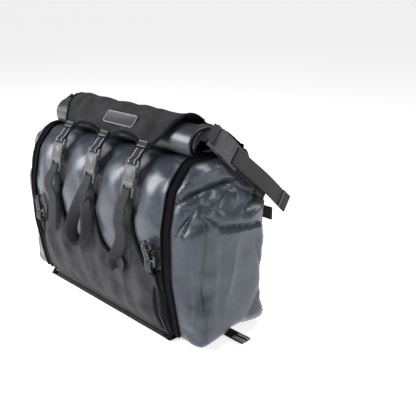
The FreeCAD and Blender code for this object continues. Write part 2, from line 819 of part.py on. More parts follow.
def make_shoulder_straps():
    """A strap runs from the back over each shoulder and down beside the holster's front panel."""
    skin = size("web_thick") / 2
    back_y = size(HALF_DEPTH) + skin
    bend = size("edge_round") + skin
    breast, shoulder, brow = front_line(2, 4, skin)
    route = [
        (back_y, size("end_wall_top + side_strap_foot")),
        (back_y, size("bag_top") + skin),
        brow,
        shoulder,
    ] + down_the_front(breast[1], skin)
    for side_name, side in SIDES.items():
        strap = band(rounded_path(route, bend), 2 * skin, size("side_web"), side * size("side_strap_out"))
        keep(plain_feature(f"ShoulderStrap_{side_name}", strap), f"shoulder_strap_{side_name}")


def make_corner_ties():
    """A ladder lock at each upper corner of the front panel pulls on a narrow tie from the bottom corner."""
    skin = size("web_thick") / 2
    bend = size("edge_round") + skin
    route = down_the_front(size("side_lock_up - lock_height / 2") - skin, size("panel_thick") + skin)
    for side_name, side in SIDES.items():
        tie = band(rounded_path(route, bend), 2 * skin, size("tie_width"), side * size("side_lock_out"))
        keep(plain_feature(f"CornerTie_{side_name}", tie), f"corner_tie_{side_name}")
        keep(ladder_lock(side_name, side), f"strap_lock_{side_name}")


def ladder_lock(side_name, side):
    """A flat three-bar ladder lock."""
    width = "(side_web + 2 * lock_rim)"
    centre = (f"{side} * side_lock_out", f"-{HALF_DEPTH} - belly - web_thick - lock_thick / 2", "side_lock_up")
    name = f"StrapLock_{side_name}"
    frame = rounded_block(f"{name}_frame", (width, "lock_thick", "lock_height"), centre, CORNER, "y")
    slots = [
        block(f"{name}_slot{index}", ("side_web + 1", "2 * lock_thick", "lock_slot"), (
            centre[0], centre[1], f"side_lock_up + {shift} * (lock_slot + lock_bar) / 2"))
        for index, shift in enumerate((1, -1))
    ]
    return cut(name, frame, fuse(f"{name}_slots", slots))


# ---------------------------------------------------------------- roll-end straps
def end_frame(side):
    """The place of a roll-end buckle: its -Z runs down the strap, and its -Y stands off the end slope."""
    rise = size("bag_top - end_wall_top")
    run = size("end_slope_run")
    down_slope = Vector(run, 0, -rise).normalize()
    turn = math.radians(size("end_strap_turn"))
    along = down_slope * math.cos(turn) + Vector(0, 1, 0) * math.sin(turn)
    outward = Vector(rise, 0, run).normalize()
    origin = Vector(size("bag_length / 2 - end_slope_run"), size("end_buckle_back"), size("bag_top"))
    origin = origin + down_slope * size("end_buckle_down") + outward * size("end_buckle_clear")
    if side < 0:
        origin, along, outward = (Vector(-v.x, v.y, v.z) for v in (origin, along, outward))
    up = -along
    back = -outward
    across = back.cross(up)
    frame = Matrix(
        across.x, back.x, up.x, 0,
        across.y, back.y, up.y, 0,
        across.z, back.z, up.z, 0,
        0, 0, 0, 1,
    )
    return Placement(origin, Placement(frame).Rotation), along


def make_end_straps():
    """At each end of the roll a loop carries a wide buckle, clipped to a strap down to the back corner."""
    beside, crossing = ladder_fold()
    thick = size("web_thick")
    slot_z = size("end_shell - shell_bar - web_slot / 2")
    bar_beside = size("buckle_thick / 4 + web_thick / 2")
    main = [
        (beside, -size("end_main_length")),
        (beside, crossing),
        (-beside, crossing),
        (-beside, crossing - 40),
        (-beside + 1, -size("end_tail_length")),
    ]
    loop = [
        (-bar_beside, slot_z + 12),
        (-bar_beside, slot_z),
        (bar_beside, slot_z),
        (bar_beside, slot_z + 12),
        (bar_beside + 30, slot_z + 20),
    ]
    roll_end = size("roll_length / 2")
    for side_name, side in SIDES.items():
        where, _ = end_frame(side)
        female = female_buckle(f"EndFemale_{side_name}", "end_web", "end_shell")
        female.Placement = where
        keep(female, f"end_female_{side_name}")
        male = male_buckle(f"EndMale_{side_name}", "end_web")
        male.Placement = where
        keep(male, f"end_male_{side_name}")
        strap = band(rounded_path(main, web_radius()), thick, size("end_web"))
        keep(plain_feature(f"EndStrap_{side_name}", strap, where), f"end_strap_{side_name}")
        ring = band(rounded_path(loop, web_radius()), thick, size("end_web"))
        ring.Placement = where * ring.Placement
        inner = Part.makeBox(2 * roll_end, 400, 400, Vector(-roll_end, -200, 200))
        keep(plain_feature(f"EndLoop_{side_name}", ring.cut(inner)), f"end_loop_{side_name}")
        keep(strap_guide(side_name, where, beside), f"strap_guide_{side_name}")


def strap_guide(side_name, where, beside):
    """A sewn sleeve on the end slope that the strap runs through on its way to the back corner."""
    clear = size("end_buckle_clear")
    wall = size("guide_wall")
    gap = size("guide_gap")
    thick = size("web_thick")
    hole = thick + 2 * gap
    middle = -size("guide_along")
    length = size("guide_length")
    width = size("end_web + 2 * guide_rim")
    hole_width = size("end_web + 1")
    low = beside - thick / 2 - gap - wall
    body = Part.makeBox(width, clear - low, length, Vector(-width / 2, low, middle - length / 2))
    web_hole = Part.makeBox(hole_width, hole, length + 2, Vector(
        -hole_width / 2, beside - thick / 2 - gap, middle - length / 2 - 1))
    return plain_feature(f"StrapGuide_{side_name}", body.cut(web_hole), where)


# ---------------------------------------------------------------- rings on the back
def ring_y():
    return f"({HALF_DEPTH} + board_thick + panel_thick + ring_wire / 2 + 0.3 + tab_wall)"


def make_rings():
    """A tape tab holds a D-shaped ring at each upper corner of the back panel; the rings hang free."""
    for side_name, side in SIDES.items():
        centre = (f"{side} * ring_out", ring_y(), "ring_up")
        keep(d_ring(side_name, centre), f"d_ring_{side_name}")
        name = f"RingTab_{side_name}"
        eye = rod(f"{name}_eye", "ring_wire / 2 + 0.3 + tab_wall", "tab_width", "x", centre)
        outer = f"({HALF_DEPTH} + board_thick + panel_thick)"
        patch = block(f"{name}_patch", ("tab_width", f"{ring_y()} - {outer}", "tab_length"), (
            centre[0], f"({ring_y()} + {outer}) / 2", "ring_up + tab_length / 2"))
        hole = rod(f"{name}_hole", "ring_wire / 2 + 0.3", "tab_width + 4", "x", centre)
        keep(cut(name, fuse(f"{name}_solid", [eye, patch]), hole), f"ring_tab_{side_name}")


def d_ring(side_name, centre):
    """A straight bar with a half circle below it, all of one wire."""
    name = f"DRing_{side_name}"
    bend = "(ring_inside + ring_wire) / 2"
    bow = doc.addObject("Part::Torus", f"{name}_bow")
    bow.setExpression("Radius1", expr(bend))
    bow.setExpression("Radius2", expr("ring_wire / 2"))
    bow.Angle3 = 180
    bow.Placement = Placement(Vector(), Rotation(Vector(-1, 0, 0), Vector(0, 0, -1), Vector(0, -1, 0), "XYZ"))
    place_at(bow, centre)
    pieces = [bow, rod(f"{name}_bar", "ring_wire / 2", f"2 * {bend}", "x", centre)]
    for end in (-1, 1):
        ball = doc.addObject("Part::Sphere", f"{name}_corner{end + 1}")
        ball.setExpression("Radius", expr("ring_wire / 2"))
        place_at(ball, (f"{centre[0]} + {end} * {bend}", centre[1], centre[2]))
        pieces.append(ball)
    return fuse(name, pieces)


# ---------------------------------------------------------------- build, check and write
make_dry_bag()
make_corner_seams()
make_roll()
make_boards()
make_panels()
make_front_panel()
make_bindings()
make_back_fittings()
make_bottom_loops()
make_front_straps()
make_hangers()
make_flap()
make_shoulder_straps()
make_corner_ties()
make_end_straps()
make_rings()
doc.recompute()

failed = [item.Name for item in doc.Objects if "Invalid" in item.State or "Error" in item.State]
failed += [item.Label for item in parts if item.Shape.isNull() or not item.Shape.isValid()]
if failed:
    raise SystemExit(f"these did not build: {failed}")

os.makedirs("parts", exist_ok=True)
for item in parts:
    item.Shape.exportStep(f"parts/{item.Label}.step")
pivot = pivot_point()
print(f"{len(parts)} sub-parts written")
print(f"hanging straps turn at y {pivot[0]:.3f}, z {pivot[1]:.3f}")
for side_name, side in SIDES.items():
    where, along = end_frame(side)
    print(f"{side_name} end strap slides along {along.x:.6f} {along.y:.6f} {along.z:.6f}")
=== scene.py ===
"""Soft roll-top motorcycle saddlebag in a strapped nylon holster. Metres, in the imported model's frame.

+X runs along the bag, -Y is the outboard face, +Y the face against the machine, +Z is up.
"""
import math

import bpy
import numpy as np
from mathutils import Matrix, Vector, noise
from mathutils.bvhtree import BVHTree


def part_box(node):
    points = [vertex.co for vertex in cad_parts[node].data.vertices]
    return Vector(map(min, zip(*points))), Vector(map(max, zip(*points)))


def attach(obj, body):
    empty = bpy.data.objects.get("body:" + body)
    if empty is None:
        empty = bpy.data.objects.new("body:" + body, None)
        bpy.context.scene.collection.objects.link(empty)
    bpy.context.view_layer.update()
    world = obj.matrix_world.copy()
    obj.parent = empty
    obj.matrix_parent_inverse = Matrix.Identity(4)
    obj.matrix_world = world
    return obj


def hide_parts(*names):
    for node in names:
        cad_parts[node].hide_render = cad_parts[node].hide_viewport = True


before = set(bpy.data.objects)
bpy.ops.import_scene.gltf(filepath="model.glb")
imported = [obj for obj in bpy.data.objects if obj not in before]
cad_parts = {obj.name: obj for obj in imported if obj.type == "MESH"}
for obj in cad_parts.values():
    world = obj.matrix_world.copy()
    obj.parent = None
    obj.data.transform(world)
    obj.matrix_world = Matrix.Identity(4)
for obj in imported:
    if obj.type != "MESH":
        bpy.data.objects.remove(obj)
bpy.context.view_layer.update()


# ---------------------------------------------------------------- studio
# A pale floor in a white room. A large softbox stands at the front left, and weak ones stand at the right
# and behind the top. The camera looks at the bag's front and right end from slightly above.
scene = bpy.context.scene
scene.view_settings.view_transform = "Standard"


def look_along(back):
    """The turn that points an object's -Z against a direction, with its top upright."""
    return Vector(back).to_track_quat("Z", "Y").to_euler()


azimuth, elevation = math.radians(45.096), math.radians(19.929)
camera = bpy.data.objects.new("Camera", bpy.data.cameras.new("Camera"))
camera.location = (0.958, -0.747, 0.624)
camera.rotation_euler = look_along((
    math.sin(azimuth) * math.cos(elevation), -math.cos(azimuth) * math.cos(elevation), math.sin(elevation)))
camera.data.lens = 52.87
camera.data.sensor_width = 36
scene.collection.objects.link(camera)
scene.camera = camera


def softbox(name, place, target, size, watts):
    """A square area light that faces a point."""
    lamp = bpy.data.lights.new(name, "AREA")
    lamp.size = size
    lamp.energy = watts
    box = bpy.data.objects.new(name, lamp)
    box.location = place
    box.rotation_euler = look_along(Vector(place) - Vector(target))
    scene.collection.objects.link(box)


softbox("Key", (-1.25, -1.6, 1.25), (0.0, -0.05, 0.2), 1.2, 60)
softbox("Fill", (1.9, 0.2, 0.9), (0.2, 0.0, 0.2), 0.9, 9)
softbox("Top", (0.3, 0.6, 1.7), (0.0, 0.0, 0.35), 0.7, 11)


def add(tree, kind, sockets=None, **settings):
    """Adds a shader node, sets its options, and fills its sockets with values or links."""
    made = tree.nodes.new("ShaderNode" + kind)
    for name, value in settings.items():
        setattr(made, name, value)
    for name, value in (sockets or {}).items():
        socket = made.inputs[name]
        if isinstance(value, bpy.types.NodeSocket):
            tree.links.new(value, socket)
        else:
            socket.default_value = value
    return made


world = bpy.data.worlds.new("White room")
world.use_nodes = True
scene.world = world
sky = world.node_tree
seen = add(sky, "LightPath").outputs["Is Camera Ray"]
strength = add(sky, "MapRange", {"Value": seen, "To Min": 0.2, "To Max": 1.0}).outputs["Result"]
sky.nodes["Background"].inputs["Color"].default_value = (1, 1, 1, 1)
sky.links.new(strength, sky.nodes["Background"].inputs["Strength"])


def new_material(name, **constants):
    """A node material whose constants sit on its Principled shader's own sockets."""
    material = bpy.data.materials.new(name)
    material.use_nodes = True
    shader = material.node_tree.nodes["Principled BSDF"]
    for socket, value in constants.items():
        shader.inputs[socket.replace("_", " ")].default_value = value
    return material, material.node_tree, shader


paper, tree, shader = new_material(
    "Floor paper", Roughness=0.9, Emission_Color=(1, 1, 1, 1), Emission_Strength=0.68)
fibre = add(tree, "TexNoise", {"Scale": 4.0, "Detail": 4.0})
shade = add(tree, "ValToRGB", {"Fac": fibre.outputs["Fac"]})
shade.color_ramp.elements[0].color = (0.90, 0.90, 0.90, 1)
shade.color_ramp.elements[1].color = (0.96, 0.96, 0.96, 1)
tree.links.new(shade.outputs["Color"], shader.inputs["Base Color"])
floor_mesh = bpy.data.meshes.new("Floor")
reach = 30.0
floor_mesh.from_pydata([(-reach, -reach, 0), (reach, -reach, 0), (reach, reach, 0), (-reach, reach, 0)],
                       [], [(0, 1, 2, 3)])
floor_mesh.materials.append(paper)
floor = bpy.data.objects.new("Floor", floor_mesh)
scene.collection.objects.link(floor)


# ---------------------------------------------------------------- dry bag
# The inner bag is welded from smooth vinyl-coated cloth and packed full. Straps pull its front into
# pillows, and above the end walls its spare cloth is folded in under the roll.
bag_low, bag_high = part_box("dry_bag")
panel_low, panel_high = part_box("holster_front")
strap_lines = [sum(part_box(f"front_strap_{k}"), Vector()).x / 2 for k in (1, 2, 3)]
shoulder_x = sum(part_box("shoulder_strap_right"), Vector()).x / 2
holster_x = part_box("side_binding_right")[1].x
roll_half_length, roll_middle_y = 0.205, -0.012
SIDES = {"left": -1, "right": 1}


def new_object(name, mesh, body, material):
    """A piece of the bag, shaded smooth, that moves with a body."""
    piece = bpy.data.objects.new(name, mesh)
    scene.collection.objects.link(piece)
    mesh.materials.clear()
    mesh.materials.append(material)
    mesh.shade_smooth()
    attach(piece, body)
    return piece


def apply_all(piece):
    """Turns what a piece's modifiers make of it into its own mesh."""
    graph = bpy.context.evaluated_depsgraph_get()
    mesh = bpy.data.meshes.new_from_object(piece.evaluated_get(graph), depsgraph=graph)
    piece.modifiers.clear()
    piece.data = mesh


def points_of(mesh):
    """Where a mesh's points are, one row each."""
    places = np.empty(len(mesh.vertices) * 3)
    mesh.vertices.foreach_get("co", places)
    return places.reshape(-1, 3)


def normals_of(mesh):
    """Which way a mesh faces at each of its points."""
    facing = np.empty(len(mesh.vertices) * 3)
    mesh.vertices.foreach_get("normal", facing)
    return facing.reshape(-1, 3)


def move_points(mesh, places):
    """Puts a mesh's points at new places."""
    mesh.vertices.foreach_set("co", places.ravel())
    mesh.update()


def near(value, middle, half, soft):
    """1 within half of the middle, falling smoothly to 0 over the soft distance beyond."""
    gone = np.clip((np.abs(value - middle) - half) / soft, 0, 1)
    return 1 - gone * gone * (3 - 2 * gone)


def rising(value, low, high):
    """0 below the low end and 1 above the high end, with a smooth rise between."""
    part = np.clip((value - low) / (high - low), 0, 1)
    return part * part * (3 - 2 * part)


valley_height = 0.140
point_half_width = 0.010


def panel_top(x):
    """The height of the front panel's hanging edge: three points, with a curve between each pair."""
    peak, valley = panel_high.z, valley_height
    pitch = strap_lines[2] - strap_lines[1]
    flat = point_half_width
    away = np.minimum(np.abs(np.abs(x) - pitch), np.abs(x))
    inner_half = pitch / 2 - flat
    outer_half = panel_high.x - pitch - flat
    half = np.where(np.abs(x) > pitch, outer_half, inner_half)
    across = np.clip((half - (away - flat)) / half, -1, 1)
    curve = peak - (peak - valley) * np.sqrt(np.clip(1 - across ** 2, 0, 1))
    return np.where(away <= flat, peak, curve)


def new_group(name, inputs, outputs):
    """A shader node group with named sockets, and its two end nodes."""
    tree = bpy.data.node_groups.new(name, "ShaderNodeTree")
    for label, kind, value in inputs:
        socket = tree.interface.new_socket(label, in_out="INPUT", socket_type="NodeSocket" + kind)
        socket.default_value = value
    for label, kind in outputs:
        tree.interface.new_socket(label, in_out="OUTPUT", socket_type="NodeSocket" + kind)
    return tree, tree.nodes.new("NodeGroupInput"), tree.nodes.new("NodeGroupOutput")


def math_node(tree, operation, first, second=0.0, third=0.0):
    """One step of arithmetic in a material."""
    made = add(tree, "Math", operation=operation)
    for index, value in enumerate((first, second, third)):
        if isinstance(value, bpy.types.NodeSocket):
            tree.links.new(value, made.inputs[index])
        else:
            made.inputs[index].default_value = value
    return made.outputs[0]


def hand_over(tree, result, colour, rough, height):
    """Links what a group has made to its outputs."""
    for label, made in (("Colour", colour), ("Roughness", rough), ("Height", height)):
        tree.links.new(made, result.inputs[label])


def mix_colour(tree, factor, first, second):
    """A colour between two others."""
    made = add(tree, "Mix", data_type="RGBA")
    for index, value in ((0, factor), (6, first), (7, second)):
        if isinstance(value, bpy.types.NodeSocket):
            tree.links.new(value, made.inputs[index])
        else:
            made.inputs[index].default_value = value
    return made.outputs[2]


def coated_cloth_group():
    """Smooth coated cloth: faint cloudy colour, fine pebbled grain, rubbed and dusty patches."""
    tree, given, result = new_group("Coated cloth", [
        ("Colour", "Color", (0.04, 0.045, 0.055, 1)),
        ("Rubbed colour", "Color", (0.09, 0.095, 0.105, 1)),
        ("Grain scale", "Float", 900.0),
    ], [("Colour", "Color"), ("Roughness", "Float"), ("Height", "Float")])
    place = add(tree, "TexCoord").outputs["Object"]
    cloud = add(tree, "TexNoise", {"Vector": place, "Scale": 9.0, "Detail": 5.0, "Roughness": 0.6})
    rub = add(tree, "TexNoise", {"Vector": place, "Scale": 38.0, "Detail": 6.0, "Roughness": 0.7})
    rubbed = add(tree, "MapRange", {"Value": rub.outputs["Fac"], "From Min": 0.48, "From Max": 0.78})
    share = math_node(tree, "MULTIPLY_ADD", cloud.outputs["Fac"], 0.5, rubbed.outputs["Result"])
    colour = mix_colour(tree, share, given.outputs["Colour"], given.outputs["Rubbed colour"])
    grain = add(tree, "TexVoronoi", {"Vector": place, "Scale": given.outputs["Grain scale"]})
    fine = add(tree, "TexNoise", {"Vector": place, "Scale": 260.0, "Detail": 3.0})
    height = math_node(tree, "MULTIPLY_ADD", fine.outputs["Fac"], 0.8, grain.outputs["Distance"])
    rough = math_node(tree, "MULTIPLY_ADD", share, 0.12, 0.32)
    hand_over(tree, result, colour, rough, height)
    return tree


coated_cloth = coated_cloth_group()


def use_group(tree, shader, group, sockets, depth, bump_strength):
    """Feeds a material's shader from a group's colour, roughness and height."""
    look = add(tree, "Group", node_tree=group)
    for name, value in sockets.items():
        if isinstance(value, bpy.types.NodeSocket):
            tree.links.new(value, look.inputs[name])
        else:
            look.inputs[name].default_value = value
    bump = add(tree, "Bump", {
        "Height": look.outputs["Height"], "Distance": depth, "Strength": bump_strength})
    tree.links.new(look.outputs["Colour"], shader.inputs["Base Color"])
    tree.links.new(look.outputs["Roughness"], shader.inputs["Roughness"])
    tree.links.new(bump.outputs["Normal"], shader.inputs["Normal"])
    return look


def vinyl_material(name, colour, rubbed):
    """Coated cloth with a soft gloss."""
    material, tree, shader = new_material(
        name, Coat_Weight=0.35, Coat_Roughness=0.24, Specular_Tint=(0.83, 0.9, 1.0, 1))
    use_group(tree, shader, coated_cloth, {"Colour": colour, "Rubbed colour": rubbed}, 0.0004, 0.35)
    return material


vinyl = vinyl_material("Graphite vinyl", (0.029, 0.035, 0.049, 1), (0.056, 0.065, 0.085, 1))


def swell(piece, held, pressure, cap):
    """Blows a closed piece up as cloth, holding the points under straps, and caps how far a point moves."""
    start = points_of(piece.data)
    group = piece.vertex_groups.new(name="held")
    for index, weight in enumerate(held):
        if weight > 0.01:
            group.add([index], float(weight), "REPLACE")
    cloth = piece.modifiers.new("Cloth", "CLOTH")
    cloth.settings.use_pressure = True
    cloth.settings.uniform_pressure_force = pressure
    cloth.settings.effector_weights.gravity = 0
    cloth.settings.vertex_group_mass = "held"
    cloth.settings.shrink_min = -0.05
    cloth.settings.bending_stiffness = 0.3
    cloth.collision_settings.use_collision = False
    settle_frames = 20
    scene.frame_start = 1
    scene.frame_end = settle_frames
    for frame_number in range(1, settle_frames + 1):
        scene.frame_set(frame_number)
    apply_all(piece)
    scene.frame_set(1)
    moved = points_of(piece.data) - start
    far = np.linalg.norm(moved, axis=1, keepdims=True)
    move_points(piece.data, start + moved * np.minimum(1, cap / np.maximum(far, 1e-9)))


def fold(places, skin, start, end, width, depth):
    """A crease along a line laid on the skin, deepest halfway; a negative depth stands proud."""
    first = Vector(start)
    last = Vector(end)
    steps = max(3, int((last - first).length / 0.002))
    nearest = np.full(len(places), 1.0)
    along = np.zeros(len(places))
    for step in range(steps + 1):
        laid = np.array(skin.find_nearest(first.lerp(last, step / steps))[0])
        gap = np.linalg.norm(places - laid, axis=1)
        closer = gap < nearest
        nearest[closer] = gap[closer]
        along[closer] = step / steps
    fade = np.sin(math.pi * np.clip(along, 0.06, 0.94)) ** 0.5
    return -depth * fade * np.exp(-nearest / width)


def facets(places, scale, seed):
    """Crumpled cloth: flat-sided lumps that meet in sharp creases, from 0 in a crease to about 1."""
    shift = Vector((seed * 7.3, seed * 3.1, seed * 5.7))
    values = np.empty(len(places))
    for index, place in enumerate(places):
        distances, _ = noise.voronoi(Vector(place) * scale + shift)
        values[index] = min(1.0, distances[1] - distances[0])
    return values


def soft_noise(places, scale, seed):
    """Smooth random waves, between about -1 and 1."""
    shift = Vector((seed * 4.9, seed * 8.3, seed * 2.7))
    return np.array([noise.noise(Vector(place) * scale + shift) for place in places])


def skin_of(mesh):
    """A mesh's faces, ready to be searched for the nearest place or where a line meets them."""
    return BVHTree.FromPolygons(
        [tuple(vertex.co) for vertex in mesh.vertices], [tuple(face.vertices) for face in mesh.polygons])


bag_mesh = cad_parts["dry_bag"].data.copy()
bag_shell = points_of(bag_mesh)
bag_middle = (np.array(bag_low) + np.array(bag_high)) / 2
bag_half = (np.array(bag_high) - np.array(bag_low)) / 2
skin_back = np.array([0.004, 0.006, 0.003])  # room for the cloth to swell into
move_points(bag_mesh, bag_middle + (bag_shell - bag_middle) * (1 - skin_back / bag_half))
dry_bag = new_object("dry_bag_cloth", bag_mesh, "bag", vinyl)
remesh = dry_bag.modifiers.new("Remesh", "REMESH")
remesh.mode = "VOXEL"
remesh.voxel_size = 0.006
apply_all(dry_bag)

spots = points_of(dry_bag.data)
ends = rising(np.abs(spots[:, 0]), 0.215, 0.262)
soft_ends = dry_bag.vertex_groups.new(name="ends")
for index, weight in enumerate(ends):
    soft_ends.add([index], float(0.25 + 0.75 * weight), "REPLACE")
rounding = dry_bag.modifiers.new("Round", "SMOOTH")
rounding.factor = 0.5
rounding.iterations = 22
rounding.vertex_group = "ends"
apply_all(dry_bag)

spots = points_of(dry_bag.data)
x, y, z = spots.T
under_strap = np.max([near(x, line, 0.011, 0.007) for line in strap_lines], axis=0)
under_strap *= rising(z, 0.21, 0.25) * rising(-y, -0.04, 0.05)
under_shoulder = np.maximum(near(x, shoulder_x, 0.010, 0.006), near(x, -shoulder_x, 0.010, 0.006))
under_shoulder = under_shoulder * rising(z, 0.0, 0.02)
hem = near(z, panel_top(x), 0.004, 0.008) * (y < -0.06) * (np.abs(x) < panel_high.x)
behind = (y > 0.08) * near(x, 0, holster_x, 0.01)
beneath = near(z, bag_low.z, 0.010, 0.008) * near(x, 0, holster_x, 0.02)
below_roll = near(z, bag_high.z, 0.008, 0.006) * near(x, 0, roll_half_length, 0.01)
below_roll *= near(y, roll_middle_y, 0.04, 0.02)
held = np.max([under_strap, under_shoulder, 0.7 * hem, behind, beneath, below_roll], axis=0)
pressure, most_swell = 5.0, 0.013
swell(dry_bag, held, pressure, most_swell)
settled = dry_bag.modifiers.new("Settled", "SMOOTH")
settled.factor = 0.5
settled.iterations = 8
finer = dry_bag.modifiers.new("Finer", "SUBSURF")
finer.levels = 1
apply_all(dry_bag)

spots = points_of(dry_bag.data)
facing = normals_of(dry_bag.data)
x, y, z = spots.T
out = np.abs(x)
shift = np.zeros(len(spots))
slope_run, slope_rise = 0.050, 0.110
end_strap_turn = math.radians(37.5)
end_buckle_down, end_buckle_back, end_buckle_clear = -0.002, 0.022, 0.0074


def end_axes(sign):
    """A roll-end buckle's frame: X across it, Y off the bag, Z up along the strap towards the roll."""
    down_slope = Vector((slope_run, 0, -slope_rise)).normalized()
    along = down_slope * math.cos(end_strap_turn) + Vector((0, 1, 0)) * math.sin(end_strap_turn)
    outward = Vector((slope_rise, 0, slope_run)).normalized()
    origin = Vector((bag_high.x - slope_run, end_buckle_back, bag_high.z))
    origin = origin + down_slope * end_buckle_down + outward * end_buckle_clear
    if sign < 0:
        origin, along, outward = (Vector((-v.x, v.y, v.z)) for v in (origin, along, outward))
    up = -along
    back = -outward
    across = back.cross(up)
    return Matrix((
        (across.x, back.x, up.x, origin.x),
        (across.y, back.y, up.y, origin.y),
        (across.z, back.z, up.z, origin.z),
        (0, 0, 0, 1),
    ))


smooth_skin = skin_of(dry_bag.data)
end_folds = [  # start, end, width and depth, drawn for the right end
    ((0.240, -0.104, 0.306), (0.244, 0.022, 0.328), 0.016, -0.011),
    ((0.234, -0.108, 0.284), (0.255, -0.071, 0.301), 0.007, 0.014),
    ((0.252, -0.080, 0.299), (0.254, 0.034, 0.303), 0.007, 0.017),
    ((0.273, -0.066, 0.262), (0.257, -0.020, 0.297), 0.005, -0.009),
    ((0.258, -0.023, 0.295), (0.255, 0.030, 0.300), 0.005, -0.007),
    ((0.271, -0.043, 0.266), (0.259, -0.006, 0.291), 0.008, 0.011),
    ((0.250, 0.036, 0.310), (0.272, 0.100, 0.268), 0.008, -0.008),
    ((0.260, 0.020, 0.288), (0.270, 0.074, 0.269), 0.009, 0.013),
    ((0.273, 0.098, 0.262), (0.286, 0.026, 0.236), 0.006, -0.008),
    ((0.268, 0.078, 0.272), (0.281, 0.010, 0.246), 0.008, 0.012),
    ((0.270, -0.004, 0.268), (0.262, 0.010, 0.290), 0.005, -0.006),
    ((0.272, -0.074, 0.262), (0.287, -0.040, 0.237), 0.006, 0.010),
    ((0.286, -0.048, 0.238), (0.287, 0.016, 0.225), 0.006, 0.010),
    ((0.287, 0.006, 0.226), (0.285, 0.094, 0.218), 0.007, 0.008),
    ((0.288, -0.046, 0.225), (0.288, 0.090, 0.208), 0.009, -0.005),
    ((0.270, -0.100, 0.276), (0.240, -0.112, 0.226), 0.005, 0.010),
    ((0.268, -0.086, 0.277), (0.254, -0.106, 0.230), 0.005, 0.009),
    ((0.262, -0.096, 0.262), (0.246, -0.110, 0.222), 0.005, -0.005),
    ((0.290, -0.050, 0.214), (0.290, -0.052, 0.060), 0.020, 0.005),
    ((0.290, -0.010, 0.206), (0.290, -0.040, 0.080), 0.016, -0.004),
    ((0.290, 0.040, 0.180), (0.290, 0.078, 0.070), 0.018, 0.005),
    ((0.290, 0.086, 0.130), (0.290, 0.010, 0.022), 0.016, 0.005),
    ((0.262, -0.102, 0.200), (0.262, -0.100, 0.060), 0.014, 0.004),
]
for sign in SIDES.values():
    rows = np.flatnonzero(x * sign > 0.2)
    for start, end, width, depth in end_folds:
        start, end = ((sign * place[0], place[1], place[2]) for place in (start, end))
        shift[rows] += fold(spots[rows], smooth_skin, start, end, width, depth)
upper_end = rising(z, 0.232, 0.262) * rising(out, 0.236, 0.256)
rows = np.flatnonzero(out > 0.2)
lumps = np.zeros(len(spots))
bent = spots[rows] + 0.012 * np.column_stack([
    soft_noise(spots[rows], 18.0, seed) for seed in (6, 7, 8)])
lumps[rows] = facets(bent * np.array([1, 0.7, 1.2]), 15.0, 3)
shift += (lumps - 0.35) * (0.007 * upper_end + 0.0012 * rising(out, 0.23, 0.26))
waves = soft_noise(spots, 11.0, 2)
fine_waves = soft_noise(spots * np.array([1, 1, 0.55]), 26.0, 5)
front = rising(-y, 0.02, 0.07) * (out < holster_x)
shift += waves * (0.002 + 0.003 * rising(out, 0.23, 0.26)) + fine_waves * (0.0009 - 0.0004 * front)
steady = near(z, bag_high.z, 0.012, 0.01) * near(x, 0, roll_half_length, 0.01)
steady = np.maximum(steady, (y > 0.08) * near(x, 0, holster_x, 0.01))
steady = np.maximum(steady, near(z, bag_low.z, 0.006, 0.012) * near(x, 0, holster_x, 0.01))
steady = np.maximum(steady, 0.85 * near(out, shoulder_x, 0.010, 0.008))
spots += facing * (shift * (1 - steady))[:, None]

# The cloth stops at the boards, the floor and the roll, and lies flat under the roll-end buckles.
x[:] = np.clip(x, -0.300, 0.300)
y[:] = np.clip(y, -0.130, 0.1)
in_holster = near(x, 0, holster_x, 0.012)
y[:] = np.minimum(y, 0.0935 + 0.0065 * (1 - in_holster))
z[:] = np.maximum(z, 0.0057 * in_holster + 0.0008 * (1 - in_holster))
under_roll = near(x, 0, 0.207, 0.01) * near(y, roll_middle_y, 0.04, 0.01)
z[:] = np.minimum(z, 0.3448 + 0.004 * (1 - under_roll))
for sign in SIDES.values():
    where = np.array(end_axes(sign))
    seen_from = (spots - where[:3, 3]) @ where[:3, :3]
    under_buckle = near(seen_from[:, 0], 0, 0.023, 0.012) * near(seen_from[:, 2], -0.035, 0.085, 0.015)
    under_buckle *= (x * sign > 0.15) * (seen_from[:, 1] < 0.03)
    pressed = under_buckle * np.maximum(0.0080 - seen_from[:, 1], 0)
    spots += pressed[:, None] * where[:3, 1]
move_points(dry_bag.data, spots)
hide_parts("dry_bag")

bag_surface = skin_of(dry_bag.data)


def touch(start, direction):
    """Where a line from outside first meets the dry bag, and which way its cloth faces there."""
    place, facing, _, _ = bag_surface.ray_cast(Vector(start), Vector(direction))
    return place, facing


def front_at(x, z):
    """The dry bag's front face at a place along it and a height."""
    place, facing = touch((x, -0.5, max(z, bag_low.z + 0.006)), (0, 1, 0))
    return np.array(place), np.array(facing)


# ---------------------------------------------------------------- webbing
# Straps are flat woven nylon tape with a rounded selvedge: fine cross ribs, a darker edge, and rows of
# stitching where they are sewn down. They are made as strips along a line, with their real thickness.
def smooth_line(points, step=0.003):
    """Closely spaced rows of a smooth curve through the given rows, whatever columns they have."""
    given = np.array(points, float)
    given = np.vstack([2 * given[0] - given[1], given, 2 * given[-1] - given[-2]])
    rows = []
    for index in range(1, len(given) - 2):
        before, first, last, after = given[index - 1:index + 3]
        count = max(2, int(np.linalg.norm((last - first)[:3]) / step))
        part = np.linspace(0, 1, count, endpoint=False)[:, None]
        rows.append(0.5 * (
            2 * first + (last - before) * part + (2 * before - 5 * first + 4 * last - after) * part ** 2
            + (3 * first - 3 * last + after - before) * part ** 3))
    rows.append(given[-2:-1])
    return np.vstack(rows)


def unit(rows):
    """The same directions, each of length 1."""
    return rows / np.maximum(np.linalg.norm(rows, axis=-1, keepdims=True), 1e-12)


